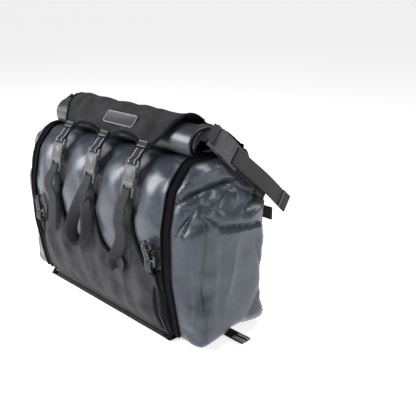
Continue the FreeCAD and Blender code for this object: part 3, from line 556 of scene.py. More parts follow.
def strip(name, line, sides, width, thick, body, material):
    """A closed flat strip along a line. Its UV map holds the place across and along it, in metres."""
    line = np.array(line)
    along = unit(np.gradient(line, axis=0))
    sides = np.broadcast_to(np.array(sides, float), line.shape)
    sides = unit(sides - along * np.sum(sides * along, axis=1, keepdims=True))
    up = np.cross(along, sides)
    edge = thick / 2
    inner = np.linspace(-width / 2 + edge, width / 2 - edge, 5)
    ring = [(-width / 2, 0.0)] + [(u, edge) for u in inner]
    ring += [(width / 2, 0.0)] + [(u, -edge) for u in reversed(inner)]
    count = len(ring)
    corners = []
    for place, side, rise in zip(line, sides, up):
        corners += [place + side * u + rise * h for u, h in ring]
    faces = []
    for row in range(len(line) - 1):
        for cell in range(count):
            following = (cell + 1) % count
            first = row * count
            faces.append((first + cell, first + following, first + count + following, first + count + cell))
    faces.append(tuple(reversed(range(count))))
    faces.append(tuple(range((len(line) - 1) * count, len(line) * count)))
    mesh = bpy.data.meshes.new(name)
    mesh.from_pydata(corners, [], faces)
    travelled = np.concatenate([[0], np.cumsum(np.linalg.norm(np.diff(line, axis=0), axis=1))])
    flat = mesh.uv_layers.new(name="UVMap")
    for loop in mesh.loops:
        row, cell = divmod(loop.vertex_index, count)
        flat.data[loop.index].uv = (ring[cell][0], travelled[row])
    return new_object(name, mesh, body, material)


def webbing_group():
    """Woven tape seen flat: cross ribs, a herringbone shade, a darker selvedge and worn, paler ribs."""
    tree, given, result = new_group("Webbing", [
        ("Across", "Float", 0.0),
        ("Along", "Float", 0.0),
        ("Half width", "Float", 0.0125),
        ("Colour", "Color", (0.04, 0.04, 0.044, 1)),
        ("Worn colour", "Color", (0.09, 0.09, 0.097, 1)),
    ], [("Colour", "Color"), ("Roughness", "Float"), ("Height", "Float")])
    across = given.outputs["Across"]
    along = given.outputs["Along"]
    zigzag = math_node(tree, "PINGPONG", across, 0.0032)
    slanted = math_node(tree, "MULTIPLY_ADD", zigzag, 0.5, along)
    rib = math_node(tree, "SINE", math_node(tree, "MULTIPLY", slanted, 2 * math.pi / 0.0019))
    yarn = math_node(tree, "SINE", math_node(tree, "MULTIPLY", across, 2 * math.pi / 0.0011))
    height = math_node(tree, "MULTIPLY_ADD", rib, 0.35, 0.5)
    height = math_node(tree, "MULTIPLY_ADD", yarn, 0.15, height)
    from_edge = math_node(tree, "SUBTRACT", given.outputs["Half width"], math_node(tree, "ABSOLUTE", across))
    selvedge = add(tree, "MapRange", {"Value": from_edge, "From Min": 0.0, "From Max": 0.0022})
    place = add(tree, "TexCoord").outputs["Object"]
    patch = add(tree, "TexNoise", {"Vector": place, "Scale": 70.0, "Detail": 5.0, "Roughness": 0.7})
    worn = math_node(tree, "MULTIPLY", patch.outputs["Fac"], math_node(tree, "MAXIMUM", height, 0.0))
    worn = math_node(tree, "MULTIPLY", worn, selvedge.outputs["Result"])
    colour = mix_colour(tree, worn, given.outputs["Colour"], given.outputs["Worn colour"])
    rough = math_node(tree, "MULTIPLY_ADD", patch.outputs["Fac"], 0.25, 0.6)
    hand_over(tree, result, colour, rough, height)
    return tree


def stitch_group():
    """Two rows of lockstitch along a strip: 1 on a thread and 0 on the cloth."""
    tree, given, result = new_group("Stitch rows", [
        ("Across", "Float", 0.0),
        ("Along", "Float", 0.0),
        ("Offset", "Float", 0.008),
        ("Pitch", "Float", 0.004),
        ("Half thread", "Float", 0.0006),
    ], [("Thread", "Float")])
    from_row = math_node(tree, "SUBTRACT", math_node(tree, "ABSOLUTE", given.outputs["Across"]),
                         given.outputs["Offset"])
    on_row = math_node(tree, "LESS_THAN", math_node(tree, "ABSOLUTE", from_row), given.outputs["Half thread"])
    turn = math_node(tree, "FRACT", math_node(tree, "DIVIDE", given.outputs["Along"], given.outputs["Pitch"]))
    from_stitch = math_node(tree, "ABSOLUTE", math_node(tree, "SUBTRACT", turn, 0.5))
    on_stitch = math_node(tree, "LESS_THAN", from_stitch, 0.36)
    tree.links.new(math_node(tree, "MULTIPLY", on_row, on_stitch), result.inputs["Thread"])
    return tree


webbing = webbing_group()
stitch_rows = stitch_group()


def webbing_material(name, half_width, colour, worn, rows=(), thread=(0.5, 0.5, 0.5, 1), shine=0.25):
    """Webbing read from a strip's UV map, with stitch rows at the given distances from its middle."""
    material, tree, shader = new_material(
        name, Sheen_Weight=0.1 * shine, Sheen_Roughness=0.5, Specular_IOR_Level=shine)
    flat = add(tree, "SeparateXYZ", {"Vector": add(tree, "UVMap").outputs["UV"]})
    across, along = flat.outputs["X"], flat.outputs["Y"]
    look = use_group(tree, shader, webbing, {
        "Across": across, "Along": along, "Half width": half_width, "Colour": colour, "Worn colour": worn,
    }, 0.0005, 0.8)
    shown = look.outputs["Colour"]
    for offset, pitch, half_thread in rows:
        rows_node = add(tree, "Group", node_tree=stitch_rows)
        tree.links.new(across, rows_node.inputs["Across"])
        tree.links.new(along, rows_node.inputs["Along"])
        rows_node.inputs["Offset"].default_value = offset
        rows_node.inputs["Pitch"].default_value = pitch
        rows_node.inputs["Half thread"].default_value = half_thread
        shown = mix_colour(tree, rows_node.outputs["Thread"], shown, thread)
    tree.links.new(shown, shader.inputs["Base Color"])
    return material


grey_web = webbing_material("Grey webbing 25", 0.0125, (0.02, 0.02, 0.023, 1), (0.085, 0.085, 0.093, 1))
wide_web = webbing_material("Grey webbing 38", 0.019, (0.03, 0.03, 0.032, 1), (0.12, 0.12, 0.122, 1))
# The shoulder webbing and the binding tape are black, and their near-zero colour and weak shine also paint
# the deep shade in the gap between the front panel and the end walls.
black_web_with_painted_shade = webbing_material(
    "Black webbing 20 with painted shade", 0.010, (0.001, 0.001, 0.002, 1), (0.004, 0.004, 0.005, 1), shine=0.08)
black_tape_with_painted_shade = webbing_material(
    "Black binding tape with painted shade", 0.006, (0.002, 0.002, 0.003, 1), (0.010, 0.010, 0.012, 1),
    [(0.0035, 0.0035, 0.0004)], (0.02, 0.02, 0.022, 1), shine=0.1)


# ---------------------------------------------------------------- roll top
# The bag's mouth is rolled round a stiff strip, a little over three turns, and lies on the top. Its ends
# show the edges of the turns.
roll_low, roll_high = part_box("roll_top")
roll_y = (roll_low.y + roll_high.y) / 2
roll_half_y = (roll_high.y - roll_low.y) / 2
roll_half_z = 0.036
roll_z = roll_high.z - roll_half_z
roll_half_x = roll_high.x
roll_turns = 3.2
roll_start = math.radians(-35)


def roll_point(turned, thick, x):
    """A point of the rolled cloth, from its turn from the inside, its depth and its place along."""
    part = turned / (2 * math.pi * roll_turns)
    radius = 0.30 + 0.70 * part ** 0.9
    seed = Vector((x * 9, math.cos(turned) * 1.2, math.sin(turned) * 1.2 + part * 3))
    loose = 1 + 0.035 * noise.noise(seed)
    pinch = 1 - 0.05 * rising(abs(x), 0.15, 0.205)
    angle = roll_start - turned
    across = (roll_half_y * radius * loose - thick) * math.cos(angle)
    up = (roll_half_z * radius * loose * pinch - thick) * math.sin(angle)
    lowest = roll_low.z + 0.0008 + (1 - radius) * 0.024
    return (x, roll_y - across, max(roll_z + up, lowest))


roll_steps = 180
roll_inner = np.linspace(-roll_half_x + 0.003, roll_half_x - 0.003, 62)
roll_places = np.concatenate([[-roll_half_x], roll_inner, [roll_half_x]])
roll_corners = []
for x_place in roll_places:
    for thick in (0.0004, 0.0036):
        for step in range(roll_steps + 1):
            turned = 2 * math.pi * roll_turns * step / roll_steps
            height = 0.5 + 0.5 * math.sin(roll_start - turned)
            frayed = 0.002 + 0.007 * height + 0.0025 * math.sin(turned * 1.7)
            frayed = math.copysign(frayed * rising(abs(x_place), 0.17, roll_half_length), x_place)
            roll_corners.append(roll_point(turned, thick, x_place + frayed))
layer = roll_steps + 1
ring = 2 * layer
roll_faces = []
for row in range(len(roll_places) - 1):
    start = row * ring
    for step in range(roll_steps):
        near_a, near_b = start + step, start + step + 1
        roll_faces.append((near_a, near_b, near_b + ring, near_a + ring))
        far_a, far_b = near_a + layer, near_b + layer
        roll_faces.append((far_b, far_a, far_a + ring, far_b + ring))
    for step in (0, roll_steps):
        a, b = start + step, start + step + layer
        face = (a, a + ring, b + ring, b)
        roll_faces.append(face if step == 0 else tuple(reversed(face)))
for start, flip in ((0, False), ((len(roll_places) - 1) * ring, True)):
    for step in range(roll_steps):
        face = (start + step, start + step + layer, start + step + 1 + layer, start + step + 1)
        roll_faces.append(tuple(reversed(face)) if flip else face)
roll_mesh = bpy.data.meshes.new("roll_top_cloth")
roll_mesh.from_pydata(roll_corners, [], roll_faces)
roll_vinyl = vinyl_material("Rolled vinyl", (0.018, 0.019, 0.023, 1), (0.05, 0.052, 0.06, 1))
roll = new_object("roll_top_cloth", roll_mesh, "bag", roll_vinyl)
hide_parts("roll_top")


# ---------------------------------------------------------------- woven nylon
# The holster and its flap are cut from matte, tightly woven nylon: crossing threads, slight slubs, and
# faint pale rubbing in cloudy patches.
def woven_group():
    """Plain woven cloth: crossed threads, slubs and cloudy pale rubbing."""
    tree, given, result = new_group("Woven nylon", [
        ("Colour", "Color", (0.05, 0.05, 0.056, 1)),
        ("Rubbed colour", "Color", (0.09, 0.09, 0.1, 1)),
        ("Thread pitch", "Float", 0.0012),
    ], [("Colour", "Color"), ("Roughness", "Float"), ("Height", "Float")])
    place = add(tree, "TexCoord").outputs["Object"]
    parts = add(tree, "SeparateXYZ", {"Vector": place})
    down = math_node(tree, "MULTIPLY_ADD", parts.outputs["Y"], 0.7, parts.outputs["Z"])
    turn = math_node(tree, "DIVIDE", 2 * math.pi, given.outputs["Thread pitch"])
    warp = math_node(tree, "SINE", math_node(tree, "MULTIPLY", parts.outputs["X"], turn))
    weft = math_node(tree, "SINE", math_node(tree, "MULTIPLY", down, turn))
    crossed = math_node(tree, "MULTIPLY", warp, weft)
    height = math_node(tree, "MULTIPLY_ADD", crossed, 0.5, 0.5)
    slub = add(tree, "TexNoise", {"Vector": place, "Scale": 320.0, "Detail": 3.0})
    height = math_node(tree, "MULTIPLY_ADD", slub.outputs["Fac"], 0.5, height)
    cloud = add(tree, "TexNoise", {"Vector": place, "Scale": 24.0, "Detail": 6.0, "Roughness": 0.68})
    rubbed = add(tree, "MapRange", {"Value": cloud.outputs["Fac"], "From Min": 0.35, "From Max": 0.75})
    on_threads = math_node(tree, "MULTIPLY_ADD", height, 0.5, 0.4)
    share = math_node(tree, "MULTIPLY", rubbed.outputs["Result"], on_threads)
    colour = mix_colour(tree, share, given.outputs["Colour"], given.outputs["Rubbed colour"])
    rough = math_node(tree, "MULTIPLY_ADD", rubbed.outputs["Result"], -0.12, 0.78)
    hand_over(tree, result, colour, rough, height)
    return tree


woven = woven_group()


def nylon_material(name, colour, rubbed):
    """Matte woven cloth with a slight sheen."""
    material, tree, shader = new_material(
        name, Sheen_Weight=0.06, Sheen_Roughness=0.45, Specular_IOR_Level=0.3)
    use_group(tree, shader, woven, {"Colour": colour, "Rubbed colour": rubbed}, 0.0006, 0.7)
    return material


nylon = nylon_material("Charcoal nylon", (0.018, 0.018, 0.022, 1), (0.072, 0.072, 0.083, 1))
flap_nylon = nylon_material("Charcoal flap nylon", (0.006, 0.006, 0.007, 1), (0.034, 0.034, 0.039, 1))


def cloth_sheet(name, rows, thick, body, material):
    """A sheet of cloth from a grid of points, made thick to the side that its columns and rows face."""
    grid = np.array(rows)
    high, wide = grid.shape[:2]
    faces = []
    for row in range(high - 1):
        for column in range(wide - 1):
            first = row * wide + column
            faces.append((first, first + 1, first + wide + 1, first + wide))
    mesh = bpy.data.meshes.new(name)
    mesh.from_pydata([tuple(place) for place in grid.reshape(-1, 3)], [], faces)
    piece = new_object(name, mesh, body, material)
    solid = piece.modifiers.new("Thick", "SOLIDIFY")
    solid.thickness = thick
    solid.offset = 1
    apply_all(piece)
    piece.data.shade_smooth()
    return piece


# ---------------------------------------------------------------- holster panels
# The front panel hangs between three strap points, lies over the bag's swell and gathers in soft upright
# folds. The base and back are plain sheets, and folded tape binds every edge.
columns = 150
rows_up = 64
panel_x = np.linspace(-panel_high.x, panel_high.x, columns)
tops = panel_top(panel_x)
panel_rows = np.empty((rows_up, columns, 3))
for column, x_place in enumerate(panel_x):
    heights = np.linspace(panel_low.z, tops[column], rows_up)
    for row, height in enumerate(heights):
        place, _ = front_at(x_place, height)
        panel_rows[row, column] = (x_place, place[1], height)
skin_y = panel_rows[:, :, 1] - 0.0012
loose_y = skin_y.copy()
for _ in range(40):
    smoothed = loose_y.copy()
    smoothed[1:-1, 1:-1] = (
        loose_y[:-2, 1:-1] + loose_y[2:, 1:-1] + loose_y[1:-1, :-2] + loose_y[1:-1, 2:]) / 4
    loose_y = np.minimum(smoothed, skin_y)
up_part = panel_rows[:, :, 2] / 0.14
across = panel_rows[:, :, 0]
pleats = 0.5 + 0.5 * np.sin(2 * math.pi * across / 0.082 + 2.2 * np.sin(up_part * 1.6 + across * 9) + 0.8)
small_pleats = 0.5 + 0.5 * np.sin(2 * math.pi * across / 0.037 + 1.7 * up_part + 2 * np.sin(across * 21))
gather = rising(up_part, 0.05, 0.5) * (1 - 0.75 * rising(up_part, 0.85, 1.5))
loose_y -= gather * (0.0048 * pleats ** 2 + 0.0016 * small_pleats)
panel_rows[:, :, 1] = loose_y
panel_thick = 0.0018
front_panel = cloth_sheet("holster_front_cloth", panel_rows, panel_thick, "bag", nylon)
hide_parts("holster_front")

hem_line = panel_rows[-1]
hem_facing = np.array([front_at(place[0], place[2])[1] for place in hem_line])
hem_line = hem_line + np.array([0, -0.0009, 0])
hem_along = unit(np.gradient(hem_line, axis=0))
strip("holster_front_binding", hem_line, np.cross(hem_along, hem_facing), 0.010, 0.0042,
      "bag", black_tape_with_painted_shade)

base_low, base_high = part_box("holster_base")
base_rows = []
for y_place in np.linspace(base_high.y, base_low.y, 40):
    base_rows.append([
        (x_place, y_place, base_low.z + 0.0022 + 0.0002 * math.sin(x_place * 70) * math.sin(y_place * 90))
        for x_place in np.linspace(base_low.x, base_high.x, 60)])
base_cloth = cloth_sheet("holster_base_cloth", base_rows, panel_thick, "bag", nylon)
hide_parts("holster_base")

back_low, back_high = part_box("holster_back")
back_rows = []
for height in np.linspace(back_low.z, back_high.z, 70):
    back_row = []
    for x_place in np.linspace(back_high.x, back_low.x, 90):
        wave = 0.0006 * noise.noise(Vector((x_place * 16, height * 11, 3.0)))
        back_row.append((x_place, back_high.y - 0.0019 + wave, height))
    back_rows.append(back_row)
back_cloth = cloth_sheet("holster_back_cloth", back_rows, panel_thick, "bag", nylon)
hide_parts("holster_back")

for side in SIDES:
    low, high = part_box(f"side_binding_{side}")
    middle = (low.x + high.x) / 2
    route = [np.array(front_at(middle, height)[0]) + np.array([0, -0.0012, 0])
             for height in np.linspace(0.150, 0.012, 30)]
    route += [
        np.array((middle, -0.0945, 0.004)),
        np.array((middle, -0.088, 0.0012)),
        np.array((middle, 0.0, 0.0012)),
        np.array((middle, 0.092, 0.0012)),
        np.array((middle, 0.0978, 0.006)),
        np.array((middle, 0.0984, 0.02)),
        np.array((middle, 0.0984, 0.18)),
        np.array((middle, 0.0984, 0.344)),
    ]
    tape = strip(f"side_binding_tape_{side}", smooth_line(route, 0.004), (1, 0, 0), 0.012, 0.0024,
                 "bag", black_tape_with_painted_shade)
    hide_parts(f"side_binding_{side}")


# ---------------------------------------------------------------- shoulder straps and corner locks
# A black strap with corded edges runs from the back over each shoulder and down beside the panel; its
# near-black colour also paints the deep shade of the gap there. A ladder lock at each upper corner of the
# panel pulls on a narrow tie from the bottom corner.
def over_shoulder(x_place, lift):
    """A line round the dry bag from its back, over the top and down its front to the base."""
    line = []
    centre = Vector((x_place, 0.0, 0.2))
    for degrees in np.linspace(30, 244, 120):
        angle = math.radians(degrees)
        ray = Vector((0, math.cos(angle), math.sin(angle)))
        place, facing = touch(centre + ray * 0.5, -ray)
        line.append(np.array(place) + np.array(facing) * lift)
    return np.array(line)


def sewn_part(line):
    """The part of a line from the shoulder strap's sewn start at the back to just above the base."""
    keep = [place for place in line if not (place[1] > 0.02 and place[2] < 0.258)]
    return np.array([place for place in keep if place[2] > 0.012])


def eased(line, passes):
    """A line with its small wiggles smoothed out."""
    line = line.copy()
    for _ in range(passes):
        line[1:-1] = (line[:-2] + 2 * line[1:-1] + line[2:]) / 4
    return line


for side, sign in SIDES.items():
    x_place = sign * shoulder_x
    line = sewn_part(over_shoulder(x_place, 0.0014))
    strap = strip(f"shoulder_strap_web_{side}", eased(line, 3), (1, 0, 0), 0.021, 0.0020,
                  "bag", black_web_with_painted_shade)
    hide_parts(f"shoulder_strap_{side}")
    for edge in (-1, 1):
        cord_line = eased(sewn_part(over_shoulder(x_place + edge * 0.0085, 0.003)), 3)
        strip(f"shoulder_cording_{side}_{edge + 1}", cord_line, (1, 0, 0), 0.0045, 0.0040,
              "bag", black_tape_with_painted_shade)

    lock_low, lock_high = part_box(f"strap_lock_{side}")
    lock_x = (lock_low.x + lock_high.x) / 2
    tie_line = [front_at(lock_x, height)[0] + np.array([0, -0.0045, 0])
                for height in np.linspace(lock_low.z + 0.004, 0.02, 40)]
    tie = strip(f"corner_tie_web_{side}", eased(np.array(tie_line), 6), (1, 0, 0), 0.010, 0.0020,
                "bag", black_tape_with_painted_shade)
    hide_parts(f"corner_tie_{side}")


# ---------------------------------------------------------------- moulded hardware
# Buckles and locks are moulded in grey acetal with softly rounded edges. Each keeps the shape that was
# drawn for it, with its sharp edges broken.
def plastic_group():
    """Moulded plastic: faint flow marks, fine spark-eroded texture and pale scuffs."""
    tree, given, result = new_group("Moulded plastic", [
        ("Colour", "Color", (0.1, 0.1, 0.11, 1)),
        ("Scuffed colour", "Color", (0.2, 0.2, 0.21, 1)),
    ], [("Colour", "Color"), ("Roughness", "Float"), ("Height", "Float")])
    place = add(tree, "TexCoord").outputs["Object"]
    flow = add(tree, "TexNoise", {"Vector": place, "Scale": 45.0, "Detail": 2.0})
    scuff = add(tree, "TexNoise", {"Vector": place, "Scale": 210.0, "Detail": 8.0, "Roughness": 0.75})
    scuffed = add(tree, "MapRange", {"Value": scuff.outputs["Fac"], "From Min": 0.56, "From Max": 0.72})
    share = math_node(tree, "MULTIPLY_ADD", flow.outputs["Fac"], 0.35, scuffed.outputs["Result"])
    colour = mix_colour(tree, share, given.outputs["Colour"], given.outputs["Scuffed colour"])
    grain = add(tree, "TexNoise", {"Vector": place, "Scale": 1500.0, "Detail": 2.0})
    rough = math_node(tree, "MULTIPLY_ADD", share, 0.15, 0.42)
    hand_over(tree, result, colour, rough, grain.outputs["Fac"])
    return tree


plastic_look = plastic_group()


def plastic_material(name, colour, scuffed):
    """Moulded plastic with a fine grain."""
    material, tree, shader = new_material(name, Specular_IOR_Level=0.5)
    use_group(tree, shader, plastic_look, {"Colour": colour, "Scuffed colour": scuffed}, 0.0002, 0.3)
    return material


acetal = plastic_material("Grey acetal", (0.07, 0.07, 0.08, 1), (0.15, 0.15, 0.165, 1))
dark_acetal = plastic_material("Dark acetal", (0.022, 0.022, 0.026, 1), (0.07, 0.07, 0.078, 1))


def softened(node, body, material, radius):
    """A copy of a drawn part with every sharp edge rounded, which stands for the part."""
    piece = new_object(node + "_moulded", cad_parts[node].data.copy(), body, material)
    weld = piece.modifiers.new("Weld", "WELD")
    weld.merge_threshold = 0.00001
    flat = piece.modifiers.new("Flat", "DECIMATE")
    flat.decimate_type = "DISSOLVE"
    flat.angle_limit = math.radians(1)
    bevel = piece.modifiers.new("Edges", "BEVEL")
    bevel.width = radius
    bevel.segments = 3
    bevel.limit_method = "ANGLE"
    bevel.angle_limit = math.radians(35)
    bevel.use_clamp_overlap = True
    apply_all(piece)
    piece.data.shade_smooth()
    piece.data.set_sharp_from_angle(angle=math.radians(38))
    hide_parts(node)
    return piece


def rounded_outline(half_x, half_y, radius, steps=6):
    """The corners of a rounded rectangle, anticlockwise."""
    outline = []
    for turn, (sx, sy) in enumerate(((1, 1), (-1, 1), (-1, -1), (1, -1))):
        for step in range(steps + 1):
            angle = math.radians(90 * turn + 90 * step / steps)
            outline.append((sx * (half_x - radius) + radius * math.cos(angle),
                            sy * (half_y - radius) + radius * math.sin(angle)))
    return outline


def stacked(name, levels, place, body, materials, which):
    """A closed moulding built from stacked outlines: each level is (outline, height)."""
    corners = []
    faces = []
    indices = []
    count = len(levels[0][0])
    for outline, height in levels:
        corners += [place @ Vector((u, v, height)) for u, v in outline]
    for level in range(len(levels) - 1):
        for cell in range(count):
            following = (cell + 1) % count
            first = level * count
            faces.append((first + cell, first + following, first + count + following, first + count + cell))
            indices.append(which[level])
    faces.append(tuple(reversed(range(count))))
    indices.append(which[0])
    faces.append(tuple(range((len(levels) - 1) * count, len(levels) * count)))
    indices.append(which[-1])
    mesh = bpy.data.meshes.new(name)
    mesh.from_pydata([tuple(corner) for corner in corners], [], faces)
    piece = new_object(name, mesh, body, materials[0])
    for material in materials[1:]:
        mesh.materials.append(material)
    mesh.polygons.foreach_set("material_index", indices)
    mesh.set_sharp_from_angle(angle=math.radians(40))
    return piece


buckle_tilt = math.radians(18)
mouth_y, mouth_z = -0.108, 0.296


def buckle_point(off, along, x_place=None):
    """A place on a front buckle, from how far in towards the bag and how far up from its mouth it is."""
    y_place = mouth_y + off * math.cos(buckle_tilt) + along * math.sin(buckle_tilt)
    z_place = mouth_z - off * math.sin(buckle_tilt) + along * math.cos(buckle_tilt)
    return (x_place, y_place, z_place)


def buckle_frame(x_place):
    """A matrix whose X runs across a front buckle, Y up along it, and Z out of its front."""
    turned = Matrix.Rotation(-buckle_tilt, 4, "X")
    axes = Matrix(((1, 0, 0, 0), (0, 0, -1, 0), (0, 1, 0, 0), (0, 0, 0, 1)))
    return Matrix.Translation((x_place, mouth_y, mouth_z)) @ turned @ axes


def press_pads(name, place, half_width, up, body):
    """The two thumb pads of the latch arms, which fill the shell's side windows."""
    for side in (-1, 1):
        outline = [(side * (half_width - 0.0035) + 0.0035 * math.cos(a), up + 0.0054 * math.sin(a))
                   for a in np.linspace(0, 2 * math.pi, 20, endpoint=False)]
        inner = [(side * (half_width - 0.0035) + 0.0026 * math.cos(a), up + 0.0044 * math.sin(a))
                 for a in np.linspace(0, 2 * math.pi, 20, endpoint=False)]
        pad_levels = [(inner, -0.0033), (outline, -0.0026), (outline, 0.0026), (inner, 0.0033)]
        stacked(f"{name}_pad_{side + 1}", pad_levels, place, body, [dark_acetal], [0, 0, 0])


def face_details(name, place, half_width, low, high, body):
    """A raised panel on a shell's front, with its rim broken."""
    middle = (low + high) / 2
    half = (high - low) / 2
    rim = 0.0008
    outer = [(u, v + middle) for u, v in rounded_outline(half_width, half, 0.003)]
    inner = [(u, v + middle) for u, v in rounded_outline(half_width - rim, half - rim, 0.0024)]
    stacked(name, [(outer, 0.0055), (outer, 0.0064), (inner, 0.0069)], place, body, [acetal], [0, 0])


# ---------------------------------------------------------------- front straps
# Three straps are sewn over the panel's points. Each threads a ladder-lock buckle, and its loose tail
# hangs down the front: folded back at the left, looped in the middle, leaning at the right.
front_tails = [
    [(-0.118, -0.1225, 0.268, 0), (-0.1200, -0.1290, 0.261, -4), (-0.1225, -0.1335, 0.248, -10),
     (-0.1205, -0.1330, 0.233, -14), (-0.1160, -0.1300, 0.222, -10), (-0.1165, -0.1300, 0.200, -8),
     (-0.1195, -0.1315, 0.172, -10), (-0.1230, -0.1325, 0.144, -12)],
    [(0.000, -0.1225, 0.268, 0), (-0.003, -0.128, 0.256, -8), (-0.012, -0.1310, 0.236, -24),
     (-0.028, -0.1325, 0.210, -40), (-0.044, -0.1325, 0.182, -52), (-0.050, -0.1325, 0.158, -58),
     (-0.040, -0.1325, 0.140, -60), (-0.020, -0.1325, 0.138, -60), (-0.002, -0.1320, 0.154, -58),
     (0.005, -0.1310, 0.180, -54), (0.003, -0.1285, 0.206, -44), (-0.002, -0.1262, 0.226, -24),
     (-0.003, -0.1248, 0.240, -8)],
    [(0.118, -0.1225, 0.268, 0), (0.1175, -0.130, 0.256, -6), (0.1160, -0.1335, 0.238, -14),
     (0.1110, -0.1325, 0.220, -18), (0.1140, -0.1310, 0.204, -16), (0.1140, -0.1315, 0.188, -20),
     (0.1050, -0.1325, 0.166, -30), (0.0930, -0.1330, 0.147, -38), (0.0900, -0.1330, 0.134, -40),
     (0.0975, -0.1320, 0.127, -24), (0.1070, -0.1305, 0.135, 0), (0.1130, -0.1290, 0.150, 20)],
]


def with_turn(rows):
    """Splits rows of place and turn into a line and the direction across the strap."""
    rows = np.array(rows)
    turn = np.radians(rows[:, 3])
    sides = np.stack([np.cos(turn), -np.sin(turn), np.zeros(len(rows))], axis=1)
    return rows[:, :3], sides


for k, x_place in zip((1, 2, 3), strap_lines):
    softened(f"front_male_{k}", "bag", acetal, 0.0007)
    press_pads(f"front_male_{k}", buckle_frame(x_place), 0.0172, 0.0145, "bag")
    behind_line = smooth_line([
        (x_place, front_at(x_place, 0.196)[0][1] - 0.0040, 0.196),
        (x_place, front_at(x_place, 0.215)[0][1] - 0.0042, 0.215),
        (x_place, front_at(x_place, 0.236)[0][1] - 0.0042, 0.236),
        buckle_point(0.0046, -0.034, x_place),
        buckle_point(0.0046, -0.018, x_place),
        buckle_point(0.0030, -0.0140, x_place),
        buckle_point(0.0000, -0.0128, x_place),
        buckle_point(-0.0030, -0.0136, x_place),
        buckle_point(-0.0044, -0.017, x_place),
        buckle_point(-0.0046, -0.026, x_place),
    ], 0.0025)
    tail_rows = smooth_line(front_tails[k - 1], 0.0025)
    tail, tail_sides = with_turn(tail_rows)
    line = np.vstack([behind_line, tail])
    sides = np.vstack([np.tile((1.0, 0, 0), (len(behind_line), 1)), tail_sides])
    strap = strip(f"front_strap_web_{k}", eased(line, 2), sides, 0.0246, 0.0018, "bag", grey_web)
    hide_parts(f"front_strap_{k}")


# ---------------------------------------------------------------- flap
# One piece of nylon comes up from the back panel, over the roll, and down to three points. Its hollow
# lower edge is bound, small darts shape it, and a blank moulded badge is sewn above the middle point.
seam = np.array((0.09725, 0.347))
crown = np.array((roll_y, roll_z))
crown_radius = 0.04045
point_tip = np.array((-0.0760, 0.3520))


def touch_circle(outside, forward):
    """Where a line from a point outside touches the circle round the roll, on its front or back side."""
    gap = outside - crown
    spread = math.acos(crown_radius / np.linalg.norm(gap))
    angle = math.atan2(gap[1], gap[0]) + (-spread if forward else spread)
    return angle


back_angle = touch_circle(seam, False)
front_angle = touch_circle(point_tip, True)
if front_angle < back_angle:
    front_angle += 2 * math.pi
around = np.linspace(back_angle, front_angle, 60)
on_crown = crown + crown_radius * np.stack([np.cos(around), np.sin(around)], axis=1)
flap_path = np.vstack([
    np.linspace(seam, on_crown[0], 20)[:-1],
    on_crown,
    np.linspace(on_crown[-1], point_tip, 20)[1:],
])
flap_run = np.concatenate([[0], np.cumsum(np.linalg.norm(np.diff(flap_path, axis=0), axis=1))])
flap_tangent = unit(np.gradient(flap_path, axis=0))
flap_normal = np.stack([-flap_tangent[:, 1], flap_tangent[:, 0]], axis=1)
if flap_normal[len(flap_normal) // 2, 1] < 0:
    flap_normal = -flap_normal


def on_flap(travelled, lift):
    """A place on the flap's middle line and the way it faces, in Y and Z."""
    place = np.array([np.interp(travelled, flap_run, flap_path[:, axis]) for axis in (0, 1)])
    facing = np.array([np.interp(travelled, flap_run, flap_normal[:, axis]) for axis in (0, 1)])
    facing /= np.linalg.norm(facing)
    return place + facing * lift, facing


def flap_half_width(y_place):
    """Half of the flap's width: wide at the seam, narrower on the roll, tapering to its outer points."""
    return np.interp(y_place, [-0.076, -0.042, -0.012, 0.0973], [0.1315, 0.160, 0.168, 0.199])


def hollow(x_place):
    """How far the flap's lower edge is cut back from its points."""
    pitch = strap_lines[2]
    half_tip = 0.013
    away = min(abs(abs(x_place) - pitch), abs(x_place))
    if abs(x_place) > pitch or away < half_tip:
        return 0.0
    part = (away - half_tip) / (pitch / 2 - half_tip)
    return 0.017 * math.sqrt(max(0.0, 1 - (1 - part) ** 2))


flap_columns = 160
flap_length = flap_run[-1]
flap_grid = []
for row in range(80):
    part = row / 79
    line = []
    for column in range(flap_columns):
        u = -1 + 2 * column / (flap_columns - 1)
        x_end = u * 0.1315
        travelled = part * (flap_length - hollow(x_end) * part ** 1.5)
        middle, facing = on_flap(travelled, 0)
        x_place = u * float(flap_half_width(middle[0]))
        near_edge = rising(travelled, flap_length * 0.62, flap_length)
        at_point = max(float(near(x_end, line_x, 0.010, 0.03)) for line_x in strap_lines)
        slack = 0.5 + 0.5 * noise.noise(Vector((x_place * 13, travelled * 16, 1.7)))
        ripple = 0.5 + 0.5 * noise.noise(Vector((x_place * 34 + travelled * 30, travelled * 14, 5.1)))
        pull = 0.5 + 0.5 * math.sin((x_place - travelled * 0.55) * 105)
        crease = abs(noise.noise(Vector((x_place * 22 - travelled * 12, travelled * 26 + x_place * 6, 8.4))))
        lift = 0.0004 + 0.0038 * slack + 0.0026 * ripple + 0.0060 * crease
        lift += near_edge * (1 - at_point) * (0.0026 + 0.0026 * pull)
        lift *= rising(travelled, 0.0, 0.02) * (1 - 0.7 * near_edge * at_point)
        place = middle + facing * (lift - 0.0010)
        line.append((x_place, place[0], place[1]))
    flap_grid.append(line)
flap_cloth = cloth_sheet("flap_cloth", flap_grid, 0.0021, "flap", flap_nylon)
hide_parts("flap")

